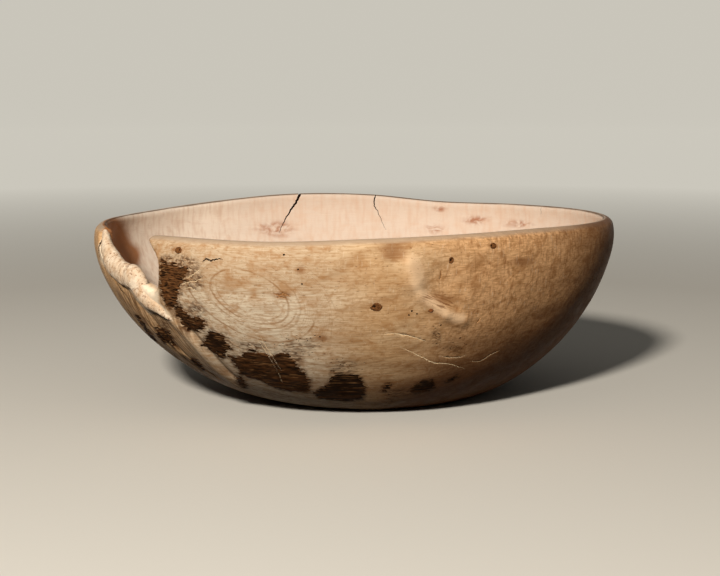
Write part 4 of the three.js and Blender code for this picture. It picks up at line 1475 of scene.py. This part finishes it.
# Dark line along the rim's inner edge, partly grime and partly painted shade.
mark("rim_dirt_and_shade_line", rim_near * np.exp(-((depth_share - RIM_LINE_DEPTH) / RIM_LINE_WIDTH) ** 2))
mark("fair", beside(bearing, *FAIR_SIDE), outer)
mark("flank", beside(bearing, *FLANK_SIDE) * np.interp(height, FLANK_HEIGHTS, (1, 0)), outer)
# Painted light that pales the left side of the hollow.
mark("scraped", beside(bearing, *PAINTED_LIGHT_SIDE), hollow)
# Painted shade at the right end and low on the right.
mark("end", np.clip(beside(bearing, *SHADED_END_SIDE) + shaded_low_right, 0, 1), outer)
mark("ruddy", turned_to(RUDDY_BEARING, RUDDY_COSINES), outer)
mark("high", np.interp(height, HIGH_HEIGHTS, (0, 1)) * high_left, outer)
# Painted shade on the low wall, towards the foot.
mark("low", np.interp(height, (0, SHADED_LOW_TOP), (1, 0)) * np.interp(height, (0, SHADED_LOW_FADE), (0, 1)), outer)
wall_place = np.column_stack([np.radians(bearing) * around(REACHES, bearing), height, np.zeros(len(bench))])
place_mark = shell.data.attributes.new("wall_place", "FLOAT_VECTOR", "POINT")
place_mark.data.foreach_set("vector", wall_place.ravel())
print("Marks so far:", ", ".join(marks))

# %% [markdown]
# ### Stains, haze, painted shade and painted highlights
# Stains, the haze around bark, the pale wood under the roll, the painted shadows behind the notch and in
# the slit at the roll's knob, and the painted highlights on the swirl were read off the photograph. A blot
# has a pixel, half a width and half a height, and a highlight line has half a width in mm and pixels
# along it.

# %% Stains, haze, painted shade and painted highlights
HAZE_REACH = 2.2
HAZES = [((188, 272), 11, 14), ((194, 282), 10, 8), ((195, 309), 12, 8), ((180, 262), 12, 6),
         ((222, 340), 9, 9), ((296, 358), 10, 8), ((163, 325), 8, 6), ((250, 346), 22, 5),
         ((345, 372), 14, 6), ((402, 392), 22, 5)]
STAINS = [((177, 250), 6, 3), ((495, 246), 6, 2.5), ((376, 307), 7, 4), ((394, 252), 17, 12),
          ((282, 295), 9, 4), ((322, 338), 8, 4), ((300, 270), 6, 5), ((440, 300), 20, 8),
          ((522, 262), 12, 6)]
SPECKLED = [((436, 337), 6, 10), ((455, 349), 10, 5), ((391, 397), 6, 4), ((300, 345), 22, 8),
            ((345, 365), 16, 6)]
INNER_STAINS = [((276, 229), 20, 8), ((434, 229), 9, 5), ((518, 224), 16, 4), ((475, 220), 14, 4),
                ((440, 209), 6, 3)]
WRINKLED = [((432, 297), 12, 4), ((445, 305), 12, 6)]
# Painted shadow on the inner wall behind the notch, where the lip and the wall block the lamp.
PAINTED_NOTCH_SHADE = [((108, 228), 15, 16), ((116, 246), 14, 16), ((132, 258), 9, 12)]
# Painted shadow in the slit along the roll's knob: its blots, and the bearing and height that bound them.
PAINTED_SLIT_SHADOWS = [((148, 282), 2.2, 5), ((149, 276), 1.6, 5)]
SLIT_SHADOW_PLACE = (217.5, 104)
SLIT_SHADOW_REACH = (4, 8)
# Painted highlights: half a width in mm and pixels along each bright line of the swirl.
PAINTED_HIGHLIGHT_LINES = [(7.5, [(413, 263), (416, 271), (418, 279)]),
                (4.6, [(416, 284), (424, 295), (435, 305), (446, 313)]),
                (4.2, [(450, 315), (456, 318), (462, 318)])]
PALE_OUTLINE = [(101, 241), (113, 240), (131, 264), (146, 267), (150, 276), (149, 285), (158, 291),
                (159, 303), (172, 317), (170, 321), (158, 312), (150, 314), (140, 303), (131, 291),
                (126, 284), (112, 274), (101, 262), (98.5, 247)]
PALE_EDGE = 3
PALE_HEIGHTS = (45, 85)
PALE_LEAST = 0.3

mark("stain", blots(STAINS), near_wall)
mark("speckled", blots(SPECKLED), near_wall)
mark("wrinkled", blots(WRINKLED), near_wall)
mark("inner_stain", blots(INNER_STAINS), hollow)
# Painted shadow behind the notch, on the hollow's side only.
mark("painted_notch_shade", blots(PAINTED_NOTCH_SHADE), hollow)
# Painted shadow in the slit, kept near the knob.
by_slit_shadow = [np.abs(value - middle) < reach
           for value, middle, reach in zip((bearing, height), SLIT_SHADOW_PLACE, SLIT_SHADOW_REACH)]
mark("slit", blots(PAINTED_SLIT_SHADOWS), by_slit_shadow[0] & by_slit_shadow[1])
near_bark = np.exp(-(distance_to(points, bark_edges) / (HAZE_REACH * MM)) ** 2)
mark("haze", np.maximum(near_bark, np.where(near_wall, blots(HAZES), 0)), outer)
# Painted highlight, strongest on the swirl's lines and fading away from them.
painted_ridge_highlight = [distance_to(points, on_wall(smooth_path(line))[0]) / (reach * MM) for reach, line in PAINTED_HIGHLIGHT_LINES]
mark("painted_ridge_highlight", np.exp(-np.min(painted_ridge_highlight, axis=0) ** 2), near_wall)
pale = np.interp(outline_distance(pixels, np.array(PALE_OUTLINE, float)), (-PALE_EDGE, PALE_EDGE), (1, 0))
mark("pale", pale * np.interp(height, PALE_HEIGHTS, (0, 1)).clip(PALE_LEAST), near_wall)
print("Marks on the wall:", ", ".join(marks))

# %% [markdown]
# ## Flecks of bark
# Around the patches, and low on the near wall, crumbs of bark are left in the pores. Geometry Nodes
# scatter them over the wall where the mark for speckles is high: flat crumbs, each sized at random from
# one seed.

# %% Flecks of bark
FLECK_INPUTS = {"Density": "Float", "Seed": "Int", "Smallest": "Vector", "Largest": "Vector",
                "Finish": "Material"}
FLECK_DENSITY = 90000
FLECK_SEED = 8
FLECK_SIZES = ((0.25, 0.15, 0.05), (0.9, 0.35, 0.12))


def fleck_tree():
    """Geometry Nodes that scatter flat crumbs over a wall by its mark for speckles."""
    tree, given = named_tree("flecks_of_bark", FLECK_INPUTS)
    speckled = add(tree, "GeometryNodeInputNamedAttribute", {"Name": "speckled"})
    thick = add(tree, "ShaderNodeMath", {0: speckled, 1: given["Density"]}, operation="MULTIPLY")
    spread = {"Mesh": given["Geometry"], "Density": thick, "Seed": given["Seed"]}
    crumbs = add(tree, "GeometryNodeDistributePointsOnFaces", spread)
    crumb = add(tree, "GeometryNodeMeshIcoSphere", {"Radius": 1, "Subdivisions": 2})
    sizes = {0: given["Smallest"], 1: given["Largest"], "Seed": given["Seed"]}
    size = add(tree, "FunctionNodeRandomValue", sizes, data_type="FLOAT_VECTOR")
    laid = crumbs.node.outputs["Rotation"]
    placed = {"Points": crumbs, "Instance": crumb, "Rotation": laid, "Scale": size}
    return close_tree(tree, add(tree, "GeometryNodeInstanceOnPoints", placed), given["Finish"])


smallest, largest = ([value * MM for value in sizes] for sizes in FLECK_SIZES)
fleck_values = {"Density": FLECK_DENSITY, "Seed": FLECK_SEED, "Smallest": smallest, "Largest": largest,
                "Finish": bark}
flecks = grown(shell, fleck_tree(), fleck_values, "bark_flecks")
print("Flecks of bark:", len(flecks.data.polygons), "faces")

# %% [markdown]
# ## Floor
# The bowl stands on a round pale board that sweeps up all round, so that it can be looked at from every
# side. Near the bowl the board is painted and takes the shadow. Farther off it glows evenly, for the eye
# and for what shows in gloss and resin, and it throws no light of its own on the bowl.

# %% Floor
FLOOR_COLOUR = "#D9D5CC"
FLOOR_SHADE = "#2A241F"
FLOOR_RADIUS = 4
FLOOR_ROUGHNESS = 0.9
FLOOR_GLOSS = 0.1
SWEEP_RADIUS = 0.8
SWEEP_ROWS = 13
WALL_HEIGHT = 1.6
FLOOR_SIDES = 96
BACKDROP_COLOUR = "#C9C5BA"
BACKDROP_BASE = "#000000"
BACKDROP_FROM = 0.7
BACKDROP_FULL = 2


def swept_floor():
    """Points and faces of a round floor that sweeps up into a low wall all round."""
    turns = np.linspace(0, 2 * math.pi, FLOOR_SIDES, endpoint=False)
    rows = [(FLOOR_RADIUS + SWEEP_RADIUS * math.sin(lift), SWEEP_RADIUS * (1 - math.cos(lift)))
            for lift in np.linspace(0, math.pi / 2, SWEEP_ROWS)]
    rows.append((FLOOR_RADIUS + SWEEP_RADIUS, WALL_HEIGHT))
    places = [(reach * math.cos(turn), reach * math.sin(turn), up) for reach, up in rows for turn in turns]
    return places, [range(FLOOR_SIDES), *ring_quads(len(rows), FLOOR_SIDES)[:, ::-1]]


def painted_floor():
    """Matt painted board: pale to the eye, glowing far off, and darker to the light that it throws back."""
    material = bpy.data.materials.new("matt_painted_board")
    material.use_nodes = True
    tree = material.node_tree
    shader = tree.nodes["Principled BSDF"]
    seen = add(tree, "ShaderNodeLightPath", out="Is Camera Ray")
    for ray in ("Glossy", "Transmission"):
        looked = add(tree, "ShaderNodeLightPath", out=f"Is {ray} Ray")
        seen = add(tree, "ShaderNodeMath", {0: seen, 1: looked}, operation="ADD", use_clamp=True)
    shades = {0: seen, 6: colour(FLOOR_SHADE), 7: colour(FLOOR_COLOUR)}
    tint = add(tree, "ShaderNodeMix", shades, 2, data_type="RGBA")
    place = add(tree, "ShaderNodeTexCoord", out="Object")
    away = add(tree, "ShaderNodeVectorMath", {0: place}, "Value", operation="LENGTH")
    ends = {"Value": away, "From Min": BACKDROP_FROM, "From Max": BACKDROP_FULL}
    far = add(tree, "ShaderNodeMapRange", ends)
    board = add(tree, "ShaderNodeMix", {0: far, 6: tint, 7: colour(BACKDROP_BASE)}, 2, data_type="RGBA")
    tree.links.new(board, shader.inputs["Base Color"])
    glow = add(tree, "ShaderNodeMath", {0: far, 1: seen}, operation="MULTIPLY")
    tree.links.new(glow, shader.inputs["Emission Strength"])
    shader.inputs["Emission Color"].default_value = colour(BACKDROP_COLOUR)
    shader.inputs["Roughness"].default_value = FLOOR_ROUGHNESS
    shader.inputs["Specular IOR Level"].default_value = FLOOR_GLOSS
    return material


floor = mesh_object("floor", *swept_floor(), [painted_floor()])
print("Floor:", len(floor.data.polygons), "faces")

# %% [markdown]
# ## Light
# One lamp stands in front, a little to the left and well above the rim, as the shadows in the photograph
# tell. So the wall falls off into shade on the right, and the far side of the hollow is bright. A weak
# even light from all round keeps the shade from going black.

# %% Light
KEY_PLACE = Vector((-0.72, -2.55, 1.55))
KEY_AIM = Vector((0, 0, 0.08))
KEY_SIZE = 0.36
KEY_POWER = 114
KEY_COLOUR = "#FFF8EE"
FILL_STRENGTH = 0.14
FILL_COLOUR = "#E9E6E0"

key = bpy.data.objects.new("key_lamp", bpy.data.lights.new("key_lamp", "AREA"))
key.data.shape = "DISK"
key.data.size = KEY_SIZE
key.data.energy = KEY_POWER
key.data.color = colour(KEY_COLOUR)[:3]
key.location = KEY_PLACE
key.rotation_euler = (KEY_AIM - KEY_PLACE).to_track_quat("-Z", "Y").to_euler()
bpy.context.collection.objects.link(key)
world = bpy.data.worlds.new("studio")
world.use_nodes = True
fill = world.node_tree.nodes["Background"].inputs
fill["Color"].default_value = colour(FILL_COLOUR)
fill["Strength"].default_value = FILL_STRENGTH
bpy.context.scene.world = world
bpy.context.scene.view_settings.view_transform = "Standard"
print("Key lamp:", KEY_POWER, "W")

# %% [markdown]
# ## Pieces
# Each piece takes the place of its node in the imported model, on the model's one body. The crumbs of
# bark come on top.

# %% Put the pieces on the body
SLOTS = {"callus_lip": "callus_wood", "resin_bead": "resin"}
pieces["bowl_shell"] = shell
for node, piece in pieces.items():
    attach(piece, BODY)
    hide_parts(node)
    if node in SLOTS:
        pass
    elif node.startswith("bark"):
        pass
    else:
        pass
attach(flecks, BODY)
